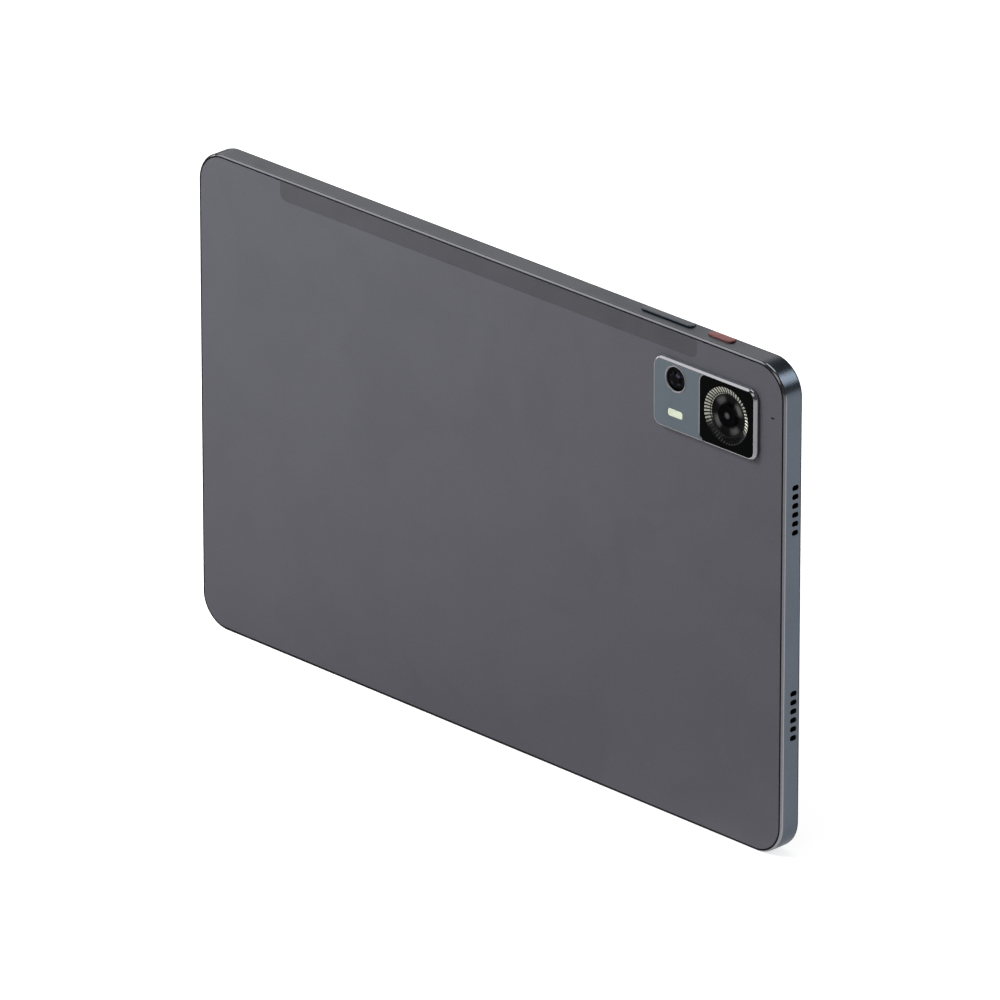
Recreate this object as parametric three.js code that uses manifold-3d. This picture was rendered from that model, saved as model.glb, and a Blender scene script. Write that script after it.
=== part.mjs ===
import * as THREE from 'three';
import { mergeVertices } from 'three/addons/utils/BufferGeometryUtils.js';
import Module from 'manifold-3d';

// A tablet computer with a metal frame, a glued rear cover and a raised camera island. It stands on
// its long lower edge. X runs along its length, -Y points out of the rear cover, +Y out of the
// display and +Z up. The origin is the middle of the flat lower edge. All sizes are in millimetres.

const wasm = await Module();
wasm.setup();

// Driving dimensions

const LENGTH = 248;
const HEIGHT = 157;
const CORNER_RADIUS = 10.5;
const CORNER_STEPS = 5;

const REAR_Y = -3.45;
const FRAME_FRONT_Y = 3.55;
const BEZEL_FRONT_Y = 3.9;
const GLASS_FRONT_Y = 4.35;

const GLUE = 0.1;
const SEAM = 0.3;
const CLEARANCE = 0.25;

const WALL = 2.2;
const RIM = 0.75;
const EDGE_CHAMFER = 0.6;
const FRONT_RIM = 1.4;
const COVER_THICKNESS = 0.8;
const LEDGE_Y = 1.5;

const PLATE_THICKNESS = 0.4;
const PLATE_HALF_LENGTH = 119.5;
const PANEL_LENGTH = 234;
const PANEL_BOTTOM = 6.8;
const PANEL_TOP = 148;
const GLASS_THICKNESS = 0.7;
const GLASS_BACK_Y = GLASS_FRONT_Y - GLASS_THICKNESS;
const GLASS_INSET = 1.45;
const BEZEL_WIDTH = 1.05;

const WINDOW_LENGTH = 176;
const WINDOW_HEIGHT = 5.9;

const ISLAND = { x: 92.4, z: 136.25, width: 42.4, height: 22.7, radius: 3.4, rise: 1.6, chamfer: 0.9 };
const EYE = { x: 101.65, z: 136.25, width: 21.7, height: 20.7, radius: 2.35 };
const LENS = { x: 101.6, z: 136.4 };
const RING = { outer: 8.95, inner: 6.65, depth: 0.85 };
const MAIN_WINDOW_RADIUS = 3.6;
const AUX = { x: 80.9, z: 141.9, ring: 4.2, glass: 3.65 };
const FLASH = { x: 80.8, z: 130.9, width: 6, height: 2.3 };
const REAR_MIC = { x: 119.1, z: 140.5, radius: 0.45 };
const FOCUS_GAP = 0.55;

const KEY_Y = 1.4;
const KEY_WIDTH = 3;
const KEY_PROUD = 0.55;
const KEY_BEVEL = 0.2;
const POWER_KEY = { x: 93.6, length: 10 };
const VOLUME_KEY = { x: 71.6, length: 21, switchOffset: 7 };

const SLOT = { count: 6, pitch: 2.86, length: 2.45, width: 1.4, y: 1.35, groupOffset: 32.9 };
const MIDDLE_Z = HEIGHT / 2;
const PORT = { y: -0.45, width: 8.94, height: 3.26, wall: 0.3, depth: 7.3 };
const TRAY = { z: 134.1, y: -0.2, headLength: 14.4, headHeight: 2.1, length: 17.6 };
const ROD_Z = TRAY.z - 6.1;
const ROD_END_X = -LENGTH / 2 + 19;
const LEVER_PIVOT_Z = TRAY.z;
const BATTERY = { bottom: 14, top: 112, left: -76, right: 72, gap: 4 };
const BOARD_LOW_Y = 0.1;
const BOARD_HIGH_Y = 0.9;
const SCREW_PLACES = [[25, 119], [25, 147], [89.8, 119], [66, 147]];
const FOIL_Y = -2.55;

// Materials

function material(color, roughness, metalness) {
  return new THREE.MeshStandardMaterial({ color, roughness, metalness });
}

const graphite = () => material(0x5e5f66, 0.42, 0.85);
const sidewall = () => material(0x5f666e, 0.38, 0.9);
const satinPanel = () => material(0x67717a, 0.4, 0.85);
const graphitePlastic = () => material(0x54555a, 0.5, 0.1);
const polished = () => material(0xc9ccd2, 0.18, 1);
const steel = () => material(0xa7aaae, 0.35, 1);
const blackGlass = () => material(0x060709, 0.08, 0);
const blackPlastic = () => material(0x111214, 0.5, 0);
const board = () => material(0x12231c, 0.55, 0.1);
const flexFilm = () => material(0x3a2410, 0.45, 0.1);
const batteryFoil = () => material(0x8d8f93, 0.4, 0.6);
const redAnodised = () => material(0xc0483d, 0.4, 0.6);
const flashCream = () => material(0xe6ecd2, 0.35, 0);
const mesh = () => material(0x1a1b1d, 0.7, 0.3);

const tablet = new THREE.Group();

function add(name, geometry, finish) {
  const piece = new THREE.Mesh(geometry, finish);
  piece.name = name;
  tablet.add(piece);
}

// Outlines. A closed outline is drawn in the plane of the slab that is made from it.

function roundedBox(width, height, radius, x = 0, y = 0) {
  const right = x + width / 2;
  const left = x - width / 2;
  const top = y + height / 2;
  const bottom = y - height / 2;
  const outline = new THREE.Shape();
  outline.moveTo(right - radius, bottom);
  outline.absarc(right - radius, bottom + radius, radius, -Math.PI / 2, 0);
  outline.absarc(right - radius, top - radius, radius, 0, Math.PI / 2);
  outline.absarc(left + radius, top - radius, radius, Math.PI / 2, Math.PI);
  outline.absarc(left + radius, bottom + radius, radius, Math.PI, 1.5 * Math.PI);
  outline.closePath();
  return outline;
}

// A box with half-round ends, lying along its longer side.
function pill(width, height, x = 0, y = 0) {
  const radius = Math.min(width, height) / 2;
  const reach = Math.max(width, height) / 2 - radius;
  const [stepX, stepY, start] = width > height ? [reach, 0, -Math.PI / 2] : [0, reach, 0];
  const outline = new THREE.Shape();
  outline.absarc(x + stepX, y + stepY, radius, start, start + Math.PI);
  outline.absarc(x - stepX, y - stepY, radius, start + Math.PI, start + 2 * Math.PI);
  outline.closePath();
  return outline;
}

function circle(radius, x = 0, y = 0) {
  const outline = new THREE.Shape();
  outline.absarc(x, y, radius, 0, 2 * Math.PI);
  return outline;
}

function polygon(...corners) {
  return new THREE.Shape(corners.map(([x, y]) => new THREE.Vector2(x, y)));
}

function bodyOutline(inset) {
  const radius = CORNER_RADIUS - inset;
  return roundedBox(LENGTH - 2 * inset, HEIGHT - 2 * inset, radius, 0, MIDDLE_Z);
}

// Slabs. Each one is an outline carried along one axis, from low to high.

const ALONG_X = new THREE.Matrix4().makeBasis(
  new THREE.Vector3(0, 1, 0),
  new THREE.Vector3(0, 0, 1),
  new THREE.Vector3(1, 0, 0),
);
const ALONG_Y = new THREE.Matrix4().makeRotationX(Math.PI / 2);

function extrude(outline, depth, curveSegments) {
  return new THREE.ExtrudeGeometry(outline, { depth, curveSegments, bevelEnabled: false });
}

function slabX(outline, low, high, steps = 4) {
  return extrude(outline, high - low, steps).applyMatrix4(ALONG_X).translate(low, 0, 0);
}

function slabY(outline, low, high, steps = 4) {
  return extrude(outline, high - low, steps).applyMatrix4(ALONG_Y).translate(0, high, 0);
}

function slabZ(outline, low, high, steps = 4) {
  return extrude(outline, high - low, steps).translate(0, 0, low);
}

// A slab along Y whose two outer edges are chamfered.
function chamferedSlabY(outline, low, high, chamfer, steps) {
  const geometry = new THREE.ExtrudeGeometry(outline, {
    depth: high - low - 2 * chamfer,
    curveSegments: steps,
    bevelThickness: chamfer,
    bevelSize: chamfer,
    bevelOffset: -chamfer,
    bevelSegments: 1,
  });
  return geometry.applyMatrix4(ALONG_Y).translate(0, high - chamfer, 0);
}

function block(low, high) {
  const size = high.map((value, axis) => value - low[axis]);
  const middle = high.map((value, axis) => (value + low[axis]) / 2);
  return new THREE.BoxGeometry(...size).translate(...middle);
}

// A turned piece whose axis is the line through x, z along Y. The profile is a list of
// [radius, y] pairs, closed on itself or on the axis.
function turned(profile, x, z, steps = 32) {
  const points = profile.map(([radius, y]) => new THREE.Vector2(radius, -y));
  return new THREE.LatheGeometry(points, steps).rotateX(Math.PI).translate(x, 0, z);
}

function disc(radius, low, high, x, z, steps = 32) {
  return turned([[0, high], [radius, high], [radius, low], [0, low]], x, z, steps);
}

function tube(inner, outer, low, high, x, z, steps = 32) {
  return turned([[inner, high], [outer, high], [outer, low], [inner, low], [inner, high]], x, z, steps);
}

// Solids for cutting and joining

function solid(geometry) {
  const bare = geometry.clone();
  bare.deleteAttribute('normal');
  bare.deleteAttribute('uv');
  const merged = mergeVertices(bare, 1e-5);
  return new wasm.Manifold(new wasm.Mesh({
    numProp: 3,
    vertProperties: new Float32Array(merged.attributes.position.array),
    triVerts: new Uint32Array(merged.index.array),
  }));
}

function geometryOf(body) {
  const { vertProperties, triVerts } = body.getMesh();
  const geometry = new THREE.BufferGeometry();
  geometry.setAttribute('position', new THREE.BufferAttribute(new Float32Array(vertProperties), 3));
  geometry.setIndex(new THREE.BufferAttribute(new Uint32Array(triVerts), 1));
  geometry.computeVertexNormals();
  return geometry;
}

function cut(geometry, ...tools) {
  const left = tools.reduce((body, tool) => body.subtract(solid(tool)), solid(geometry));
  return geometryOf(left);
}

function join(...geometries) {
  const [first, ...others] = geometries.map(solid);
  return geometryOf(others.reduce((body, other) => body.add(other), first));
}

// Frame: a ring with a chamfered rear edge, a rebate for the rear cover and one for the display.

function speakerSlots(side) {
  const slots = [];
  for (const group of [-1, 1]) {
    for (let index = 0; index < SLOT.count; index += 1) {
      const z = MIDDLE_Z + group * SLOT.groupOffset + (index - (SLOT.count - 1) / 2) * SLOT.pitch;
      const outline = pill(SLOT.length, SLOT.width, SLOT.y, z);
      const wallX = side * LENGTH / 2;
      slots.push(slabX(outline, wallX - 4, wallX + 4, 2));
    }
  }
  return slots;
}

function keyOpening({ x, length }) {
  const outline = pill(length + 2 * CLEARANCE, KEY_WIDTH + 2 * CLEARANCE, x, KEY_Y);
  return slabZ(outline, HEIGHT - WALL - 2, HEIGHT + 2, 3);
}

function makeSideFrame() {
  const wallX = -LENGTH / 2;
  const high = FRAME_FRONT_Y + EDGE_CHAMFER;
  const outside = chamferedSlabY(bodyOutline(0), REAR_Y, high, EDGE_CHAMFER, CORNER_STEPS);
  const portOutline = pill(PORT.width + 2 * CLEARANCE, PORT.height + 2 * CLEARANCE);
  const portOpening = slabX(portOutline, -5, 5)
    .rotateX(Math.PI / 2)
    .translate(wallX, PORT.y, MIDDLE_Z);
  const trayHeight = TRAY.headHeight + 2 * CLEARANCE;
  const trayOutline = pill(trayHeight, TRAY.headLength + 2 * CLEARANCE, TRAY.y, TRAY.z);
  return cut(
    outside,
    block([-LENGTH, FRAME_FRONT_Y, -1], [LENGTH, FRAME_FRONT_Y + 5, HEIGHT + 1]),
    slabY(bodyOutline(WALL), REAR_Y - 1, FRAME_FRONT_Y + 1, CORNER_STEPS),
    slabY(bodyOutline(RIM), REAR_Y - 1, REAR_Y + COVER_THICKNESS + GLUE, CORNER_STEPS),
    slabY(bodyOutline(FRONT_RIM), LEDGE_Y, FRAME_FRONT_Y + 1, CORNER_STEPS),
    ...speakerSlots(1),
    ...speakerSlots(-1),
    keyOpening(POWER_KEY),
    keyOpening(VOLUME_KEY),
    portOpening,
    slabX(trayOutline, wallX - 4, wallX + 4),
  );
}

// Rear: cover, antenna window and rear microphone

const COVER_INSET = RIM + SEAM;
const COVER_TOP = HEIGHT - COVER_INSET;
const COVER_INNER_Y = REAR_Y + COVER_THICKNESS;

function windowOutline(growth) {
  const half = WINDOW_LENGTH / 2 + growth;
  const bottom = COVER_TOP - WINDOW_HEIGHT - growth;
  const radius = 2.5;
  const outline = new THREE.Shape();
  outline.moveTo(half, COVER_TOP + growth);
  outline.lineTo(-half, COVER_TOP + growth);
  outline.absarc(-half + radius, bottom + radius, radius, Math.PI, 1.5 * Math.PI);
  outline.absarc(half - radius, bottom + radius, radius, 1.5 * Math.PI, 2 * Math.PI);
  outline.closePath();
  return outline;
}

function makeRearCover() {
  const hole = roundedBox(ISLAND.width - 2.4, ISLAND.height - 2.4, 2.4, ISLAND.x, ISLAND.z);
  return cut(
    slabY(bodyOutline(COVER_INSET), REAR_Y, COVER_INNER_Y, CORNER_STEPS),
    slabY(windowOutline(0.15), REAR_Y - 1, COVER_INNER_Y + 1),
    slabY(hole, REAR_Y - 1, COVER_INNER_Y + 1),
    disc(REAR_MIC.radius, REAR_Y - 1, COVER_INNER_Y + 1, REAR_MIC.x, REAR_MIC.z, 12),
  );
}

// Camera island: a chamfered housing with seats for the black glass, the second lens and the flash

const ISLAND_FRONT_Y = REAR_Y - ISLAND.rise;
const ISLAND_BACK_Y = -2.35;
const EYE_SEAT_Y = ISLAND_FRONT_Y + 0.75;
const EYE_GLASS_Y = ISLAND_FRONT_Y + 0.05;
const RING_SEAT_Y = -3.3;
const RING_HOLE = RING.outer + 0.15;
const LENS_NOSE_Y = EYE_GLASS_Y + 0.45;

function makeIsland() {
  const raised = chamferedSlabY(
    roundedBox(ISLAND.width, ISLAND.height, ISLAND.radius, ISLAND.x, ISLAND.z),
    ISLAND_FRONT_Y,
    REAR_Y + ISLAND.chamfer - GLUE,
    ISLAND.chamfer,
    3,
  );
  const hiddenChamfer = block(
    [ISLAND.x - ISLAND.width, REAR_Y - GLUE, ISLAND.z - ISLAND.height],
    [ISLAND.x + ISLAND.width, REAR_Y + 2, ISLAND.z + ISLAND.height],
  );
  const plug = slabY(
    roundedBox(ISLAND.width - 3, ISLAND.height - 3, 2.1, ISLAND.x, ISLAND.z),
    REAR_Y - 0.5,
    ISLAND_BACK_Y,
  );
  const above = ISLAND_FRONT_Y - 1;
  const below = ISLAND_BACK_Y + 1;
  const eyeOutline = roundedBox(EYE.width, EYE.height, EYE.radius, EYE.x, EYE.z);
  const flashOutline = roundedBox(FLASH.width + 0.3, FLASH.height + 0.3, 0.5, FLASH.x, FLASH.z);
  return cut(
    join(cut(raised, hiddenChamfer), plug),
    slabY(eyeOutline, above, EYE_SEAT_Y),
    disc(RING_HOLE, above, below, LENS.x, LENS.z, 40),
    disc(AUX.ring + 0.1, above, ISLAND_FRONT_Y + 1, AUX.x, AUX.z),
    disc(AUX.glass, above, below, AUX.x, AUX.z),
    slabY(flashOutline, above, below),
  );
}

function makeEyeGlass() {
  const outline = roundedBox(EYE.width - 0.3, EYE.height - 0.3, EYE.radius - 0.15, EYE.x, EYE.z);
  return cut(
    slabY(outline, EYE_GLASS_Y, EYE_SEAT_Y - GLUE),
    disc(RING_HOLE, EYE_GLASS_Y - 1, EYE_SEAT_Y + 1, LENS.x, LENS.z, 40),
  );
}

function makeKnurledRing() {
  const low = EYE_GLASS_Y;
  const floor = low + RING.depth;
  const profile = [
    [RING.inner, RING_SEAT_Y],
    [RING.outer, RING_SEAT_Y],
    [RING.outer, low],
    [RING.inner, floor],
    [RING.inner, RING_SEAT_Y],
  ];
  return turned(profile, LENS.x, LENS.z, 48);
}

function makeLensInsert() {
  const back = -2.9;
  const bore = 2.9;
  const face = EYE_GLASS_Y + RING.depth;
  const windowSeat = LENS_NOSE_Y + 0.5;
  const profile = [
    [bore, back],
    [RING.inner - 0.1, back],
    [RING.inner - 0.1, face],
    [MAIN_WINDOW_RADIUS + 0.25, face],
    [MAIN_WINDOW_RADIUS + 0.25, LENS_NOSE_Y],
    [MAIN_WINDOW_RADIUS + 0.1, LENS_NOSE_Y],
    [MAIN_WINDOW_RADIUS + 0.1, windowSeat],
    [bore, windowSeat],
    [bore, back],
  ];
  return turned(profile, LENS.x, LENS.z, 40);
}

function makeCameraCan() {
  const half = 6.6;
  const can = block([LENS.x - half, -2.2, LENS.z - half], [LENS.x + half, 1.1, LENS.z + half]);
  return cut(can, disc(5, -4, 0.2, LENS.x, LENS.z));
}

function makeLensBarrel() {
  const high = 0.2 - FOCUS_GAP;
  const profile = [
    [0, high],
    [4.7, high],
    [4.7, -2],
    [2.55, -2],
    [2.55, -3.3],
    [1.3, -3.3],
    [0, -3.1],
  ];
  return turned(profile, LENS.x, LENS.z, 32);
}

function makeAuxRing() {
  return tube(AUX.glass + 0.1, AUX.ring, ISLAND_FRONT_Y - 0.1, ISLAND_FRONT_Y + 0.9, AUX.x, AUX.z);
}

function makeAuxCamera() {
  const half = 4.25;
  const barrel = disc(3.2, -3.9, -1.5, AUX.x, AUX.z);
  return join(block([AUX.x - half, -2.2, AUX.z - half], [AUX.x + half, 1.1, AUX.z + half]), barrel);
}

function makeFlashLens() {
  const outline = roundedBox(FLASH.width, FLASH.height, 0.4, FLASH.x, FLASH.z);
  return slabY(outline, ISLAND_FRONT_Y, ISLAND_FRONT_Y + 1.2);
}

function makeFlashLed() {
  const high = BOARD_LOW_Y - GLUE;
  return block([FLASH.x - 1.6, -3.4, FLASH.z - 1], [FLASH.x + 1.6, high, FLASH.z + 1]);
}

function makeRearMicrophone() {
  const { x, z } = REAR_MIC;
  return block([x - 1.4, FOIL_Y, z - 1.9], [x + 1.4, -1.5, z + 1.9]);
}

// Keys: each cap passes through the top wall, and its flange keeps it in behind the wall

const FLANGE_TOP = HEIGHT - WALL - 0.35;
const FLANGE_BOTTOM = FLANGE_TOP - 0.45;
const NIB_BOTTOM = FLANGE_BOTTOM - 0.2;
const SWITCH_TOP = NIB_BOTTOM - 0.4;
const SWITCH_BOTTOM = SWITCH_TOP - 0.8;

function makeKey({ x, length }, nibOffsets) {
  const cap = new THREE.ExtrudeGeometry(pill(length, KEY_WIDTH, x, KEY_Y), {
    depth: HEIGHT + KEY_PROUD - FLANGE_BOTTOM - 2 * KEY_BEVEL,
    curveSegments: 4,
    bevelThickness: KEY_BEVEL,
    bevelSize: KEY_BEVEL,
    bevelOffset: -KEY_BEVEL,
    bevelSegments: 1,
  }).translate(0, 0, FLANGE_BOTTOM + KEY_BEVEL);
  const halfLength = length / 2 + 1;
  const halfWidth = KEY_WIDTH / 2 + 0.35;
  const flange = block(
    [x - halfLength, KEY_Y - halfWidth, FLANGE_BOTTOM],
    [x + halfLength, KEY_Y + halfWidth, FLANGE_TOP],
  );
  const nibs = nibOffsets.map((offset) => block(
    [x + offset - 0.7, KEY_Y - 0.7, NIB_BOTTOM],
    [x + offset + 0.7, KEY_Y + 0.7, FLANGE_TOP],
  ));
  return join(cap, flange, ...nibs);
}

function makeSwitch(x) {
  const base = block([x - 1.5, KEY_Y - 1.1, SWITCH_BOTTOM], [x + 1.5, KEY_Y + 0.8, SWITCH_TOP - 0.3]);
  const dome = slabZ(circle(0.7, x, KEY_Y), SWITCH_BOTTOM, SWITCH_TOP);
  return join(base, dome);
}

function makeKeyBracket() {
  const low = VOLUME_KEY.x - 12;
  const high = POWER_KEY.x + 7;
  const shelfTop = SWITCH_BOTTOM - 0.35;
  const shelf = block([low, KEY_Y - 1.3, shelfTop - 0.3], [high, KEY_Y + 1, shelfTop]);
  const foot = block([low, 0.8, shelfTop - 2], [high, 1.1, shelfTop]);
  return join(shelf, foot);
}

function makeKeyFlex() {
  return block(
    [VOLUME_KEY.x - 11, KEY_Y - 1.1, SWITCH_BOTTOM - 0.25],
    [POWER_KEY.x + 6, KEY_Y + 0.8, SWITCH_BOTTOM - 0.1],
  );
}

// Left side: USB-C port and memory card tray with its eject rod and lever

function makePortShell() {
  const outer = pill(PORT.width, PORT.height);
  const inner = pill(PORT.width - 2 * PORT.wall, PORT.height - 2 * PORT.wall);
  const near = -LENGTH / 2 + 0.4;
  const shell = cut(slabX(outer, 0, PORT.depth, 5), slabX(inner, -1, PORT.depth + 1, 5));
  return shell.rotateX(Math.PI / 2).translate(near, PORT.y, MIDDLE_Z);
}

function makePortTongue() {
  const near = -LENGTH / 2 + 1.2;
  const back = -LENGTH / 2 + 0.4 + PORT.depth;
  const halfWidth = 3.35;
  const halfThickness = 0.35;
  const tongue = block(
    [near, PORT.y - halfThickness, MIDDLE_Z - halfWidth],
    [back, PORT.y + halfThickness, MIDDLE_Z + halfWidth],
  );
  const play = 2 * PORT.wall + 0.2;
  const baseOutline = pill(PORT.width - play, PORT.height - play);
  const base = slabX(baseOutline, back - 1.5, back, 5).rotateX(Math.PI / 2);
  return join(tongue, base.translate(0, PORT.y, MIDDLE_Z));
}

function makeTray() {
  const wallX = -LENGTH / 2;
  const headOutline = pill(TRAY.headHeight, TRAY.headLength, TRAY.y, TRAY.z);
  const pinHole = disc(0.45, -1, 1, 0, 0, 10).rotateZ(Math.PI / 2);
  const bodyLow = TRAY.z - 5.1;
  const bodyHigh = TRAY.z + 6.9;
  const body = block(
    [wallX + 1, TRAY.y - 0.5, bodyLow],
    [wallX + TRAY.length, TRAY.y + 0.5, bodyHigh],
  );
  const pocket = block(
    [wallX + 2.4, TRAY.y - 2, bodyLow + 0.5],
    [wallX + TRAY.length - 0.6, TRAY.y + 0.15, bodyHigh - 0.5],
  );
  return cut(
    join(slabX(headOutline, wallX, wallX + 1.4), body),
    pocket,
    pinHole.translate(wallX + 0.5, TRAY.y, ROD_Z),
  );
}

function makeSocket() {
  const near = -LENGTH / 2 + 3;
  const far = -LENGTH / 2 + 18.6;
  const lowY = TRAY.y - 0.95;
  const highY = TRAY.y + 0.95;
  const lowZ = TRAY.z - 5.5;
  const highZ = TRAY.z + 7.3;
  const wall = 0.2;
  return cut(
    block([near, lowY - wall, lowZ - wall], [far, highY + wall, highZ + wall]),
    block([near - 1, lowY, lowZ], [far + 1, highY, highZ]),
  );
}

function makeEjectRod() {
  const near = -LENGTH / 2 + 2.6;
  return block([near, TRAY.y - 0.3, ROD_Z - 0.25], [ROD_END_X, TRAY.y + 0.3, ROD_Z + 0.1]);
}

function makeEjectLever() {
  const low = ROD_END_X + 0.1;
  const width = 0.9;
  const arm = block(
    [low, TRAY.y - 0.3, ROD_Z - 0.3],
    [low + width, TRAY.y + 0.3, TRAY.z + 5.5],
  );
  const boss = disc(1.1, TRAY.y - 0.6, TRAY.y + 0.6, low + width / 2, LEVER_PIVOT_Z, 16);
  return join(arm, boss);
}

// Inside

function makeMidPlate() {
  const low = LEDGE_Y + GLUE;
  const high = low + PLATE_THICKNESS;
  const bottom = FRONT_RIM + SEAM;
  const top = HEIGHT - FRONT_RIM - SEAM;
  const outline = roundedBox(2 * PLATE_HALF_LENGTH, top - bottom, 6, 0, MIDDLE_Z);
  const keyNotch = block(
    [VOLUME_KEY.x - 13, 0, FLANGE_BOTTOM - 2.6],
    [POWER_KEY.x + 8, 3, HEIGHT],
  );
  const cameraNotch = block([-4, 0, 149.6], [4, 3, HEIGHT]);
  const flexSlot = block([-20, 0, 3.4], [20, 3, 5.8]);
  return cut(slabY(outline, low, high), keyNotch, cameraNotch, flexSlot, ...screwHoles());
}

function screwHoles() {
  return SCREW_PLACES.map(([x, z]) => disc(0.85, 0, 3, x, z, 12));
}

// The main board has a notch at its top edge for the second camera.
function makeMainBoard() {
  const [left, right, bottom, top] = [22, 93, 116, 150];
  const notch = { left: 75.5, right: 87, bottom: 136.6 };
  const outline = polygon(
    [left, bottom],
    [right, bottom],
    [right, top],
    [notch.right, top],
    [notch.right, notch.bottom],
    [notch.left, notch.bottom],
    [notch.left, top],
    [left, top],
  );
  return cut(slabY(outline, BOARD_LOW_Y, BOARD_HIGH_Y), ...screwHoles());
}

function makeScrew(x, z) {
  const shank = 0.5;
  const head = 1.2;
  const seat = BOARD_LOW_Y - 0.1;
  const top = -0.6;
  const tip = LEDGE_Y + 0.35;
  const profile = [[0, tip], [shank, tip], [shank, seat], [head, seat], [head, top], [0, top]];
  return turned(profile, x, z, 12);
}

function makeShield(left, right, bottom, top, height) {
  const middleX = (left + right) / 2;
  const outline = roundedBox(right - left, top - bottom, 1, middleX, (bottom + top) / 2);
  return slabY(outline, BOARD_LOW_Y - GLUE - height, BOARD_LOW_Y - GLUE, 2);
}

function makeSpeaker(side, group) {
  const z = MIDDLE_Z + group * SLOT.groupOffset;
  const outer = side * (LENGTH / 2 - 4.5);
  const inner = side * (LENGTH / 2 - 18.5);
  const low = [Math.min(outer, inner), -2.4, z - 12.5];
  const high = [Math.max(outer, inner), 1.3, z + 12.5];
  const nozzleNear = side * (LENGTH / 2 - 3);
  const nozzle = block(
    [Math.min(outer, nozzleNear), -0.2, z - 8.6],
    [Math.max(outer, nozzleNear), 1.3, z + 8.6],
  );
  return join(block(low, high), nozzle);
}

function makeSpeakerMesh(side, group) {
  const z = MIDDLE_Z + group * SLOT.groupOffset;
  const wallX = side * (LENGTH / 2 - WALL - 0.3);
  const outline = roundedBox(3, 17.4, 0.5, SLOT.y, z);
  return slabX(outline, wallX - 0.15, wallX + 0.15, 2);
}

function makeBatteryCell(left, right) {
  const middleZ = (BATTERY.bottom + BATTERY.top) / 2;
  const height = BATTERY.top - BATTERY.bottom;
  const outline = roundedBox(right - left, height, 2, (left + right) / 2, middleZ);
  return slabY(outline, -2.2, LEDGE_Y - 0.15, 2);
}

function makeBezel() {
  const low = FRAME_FRONT_Y + 0.05;
  return cut(
    slabY(bodyOutline(0.1), low, BEZEL_FRONT_Y, CORNER_STEPS),
    slabY(bodyOutline(0.1 + BEZEL_WIDTH), low - 1, BEZEL_FRONT_Y + 1, CORNER_STEPS),
  );
}

function makeCoverGlass() {
  const outline = bodyOutline(GLASS_INSET);
  return chamferedSlabY(outline, GLASS_BACK_Y, GLASS_FRONT_Y, 0.2, CORNER_STEPS);
}

function makePanel() {
  const middle = (PANEL_BOTTOM + PANEL_TOP) / 2;
  const outline = roundedBox(PANEL_LENGTH, PANEL_TOP - PANEL_BOTTOM, 1, 0, middle);
  const low = LEDGE_Y + GLUE + PLATE_THICKNESS + GLUE;
  return slabY(outline, low, GLASS_BACK_Y - GLUE, 2);
}

function makeFrontCamera() {
  const z = 152.3;
  const housing = block([-2.6, -0.8, z - 2.4], [2.6, 2.2, z + 2.2]);
  return join(housing, disc(1.7, 2, GLASS_BACK_Y - GLUE, 0, z, 24));
}

// The assembly

add('side_frame', makeSideFrame(), sidewall());
add('rear_cover', makeRearCover(), graphite());
add('antenna_window', slabY(windowOutline(0), REAR_Y, COVER_INNER_Y), graphitePlastic());

add('camera_island', makeIsland(), satinPanel());
add('camera_glass', makeEyeGlass(), blackGlass());
add('knurled_ring', makeKnurledRing(), polished());
add('lens_insert', makeLensInsert(), mesh());
add(
  'main_lens_window',
  disc(MAIN_WINDOW_RADIUS, LENS_NOSE_Y, LENS_NOSE_Y + 0.4, LENS.x, LENS.z),
  blackGlass(),
);
add('main_lens_barrel', makeLensBarrel(), blackPlastic());
add('main_camera_can', makeCameraCan(), steel());
add('aux_lens_ring', makeAuxRing(), polished());
add(
  'aux_lens_window',
  disc(AUX.glass, ISLAND_FRONT_Y, ISLAND_FRONT_Y + 0.5, AUX.x, AUX.z),
  blackGlass(),
);
add('aux_camera', makeAuxCamera(), blackPlastic());
add('flash_lens', makeFlashLens(), flashCream());
add('flash_led', makeFlashLed(), flashCream());
add('rear_microphone', makeRearMicrophone(), steel());

const nibOffset = VOLUME_KEY.switchOffset;
add('power_key', makeKey(POWER_KEY, [0]), redAnodised());
add('volume_rocker', makeKey(VOLUME_KEY, [-nibOffset, nibOffset]), sidewall());
add('power_switch', makeSwitch(POWER_KEY.x), steel());
add('volume_down_switch', makeSwitch(VOLUME_KEY.x - nibOffset), steel());
add('volume_up_switch', makeSwitch(VOLUME_KEY.x + nibOffset), steel());
add('key_bracket', makeKeyBracket(), steel());
add('key_flex', makeKeyFlex(), flexFilm());

add('usb_c_shell', makePortShell(), steel());
add('usb_c_tongue', makePortTongue(), blackPlastic());
add('usb_board', block([-115.9, BOARD_LOW_Y, 61], [-101, BOARD_HIGH_Y, 96]), board());
add('card_tray', makeTray(), sidewall());
add('card_socket', makeSocket(), steel());
add('eject_rod', makeEjectRod(), steel());
add('eject_lever', makeEjectLever(), steel());

for (const [sideName, side] of [['left', -1], ['right', 1]]) {
  for (const [groupName, group] of [['lower', -1], ['upper', 1]]) {
    const place = `${sideName}_${groupName}`;
    add(`speaker_${place}`, makeSpeaker(side, group), blackPlastic());
    add(`speaker_mesh_${place}`, makeSpeakerMesh(side, group), mesh());
  }
}

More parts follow.
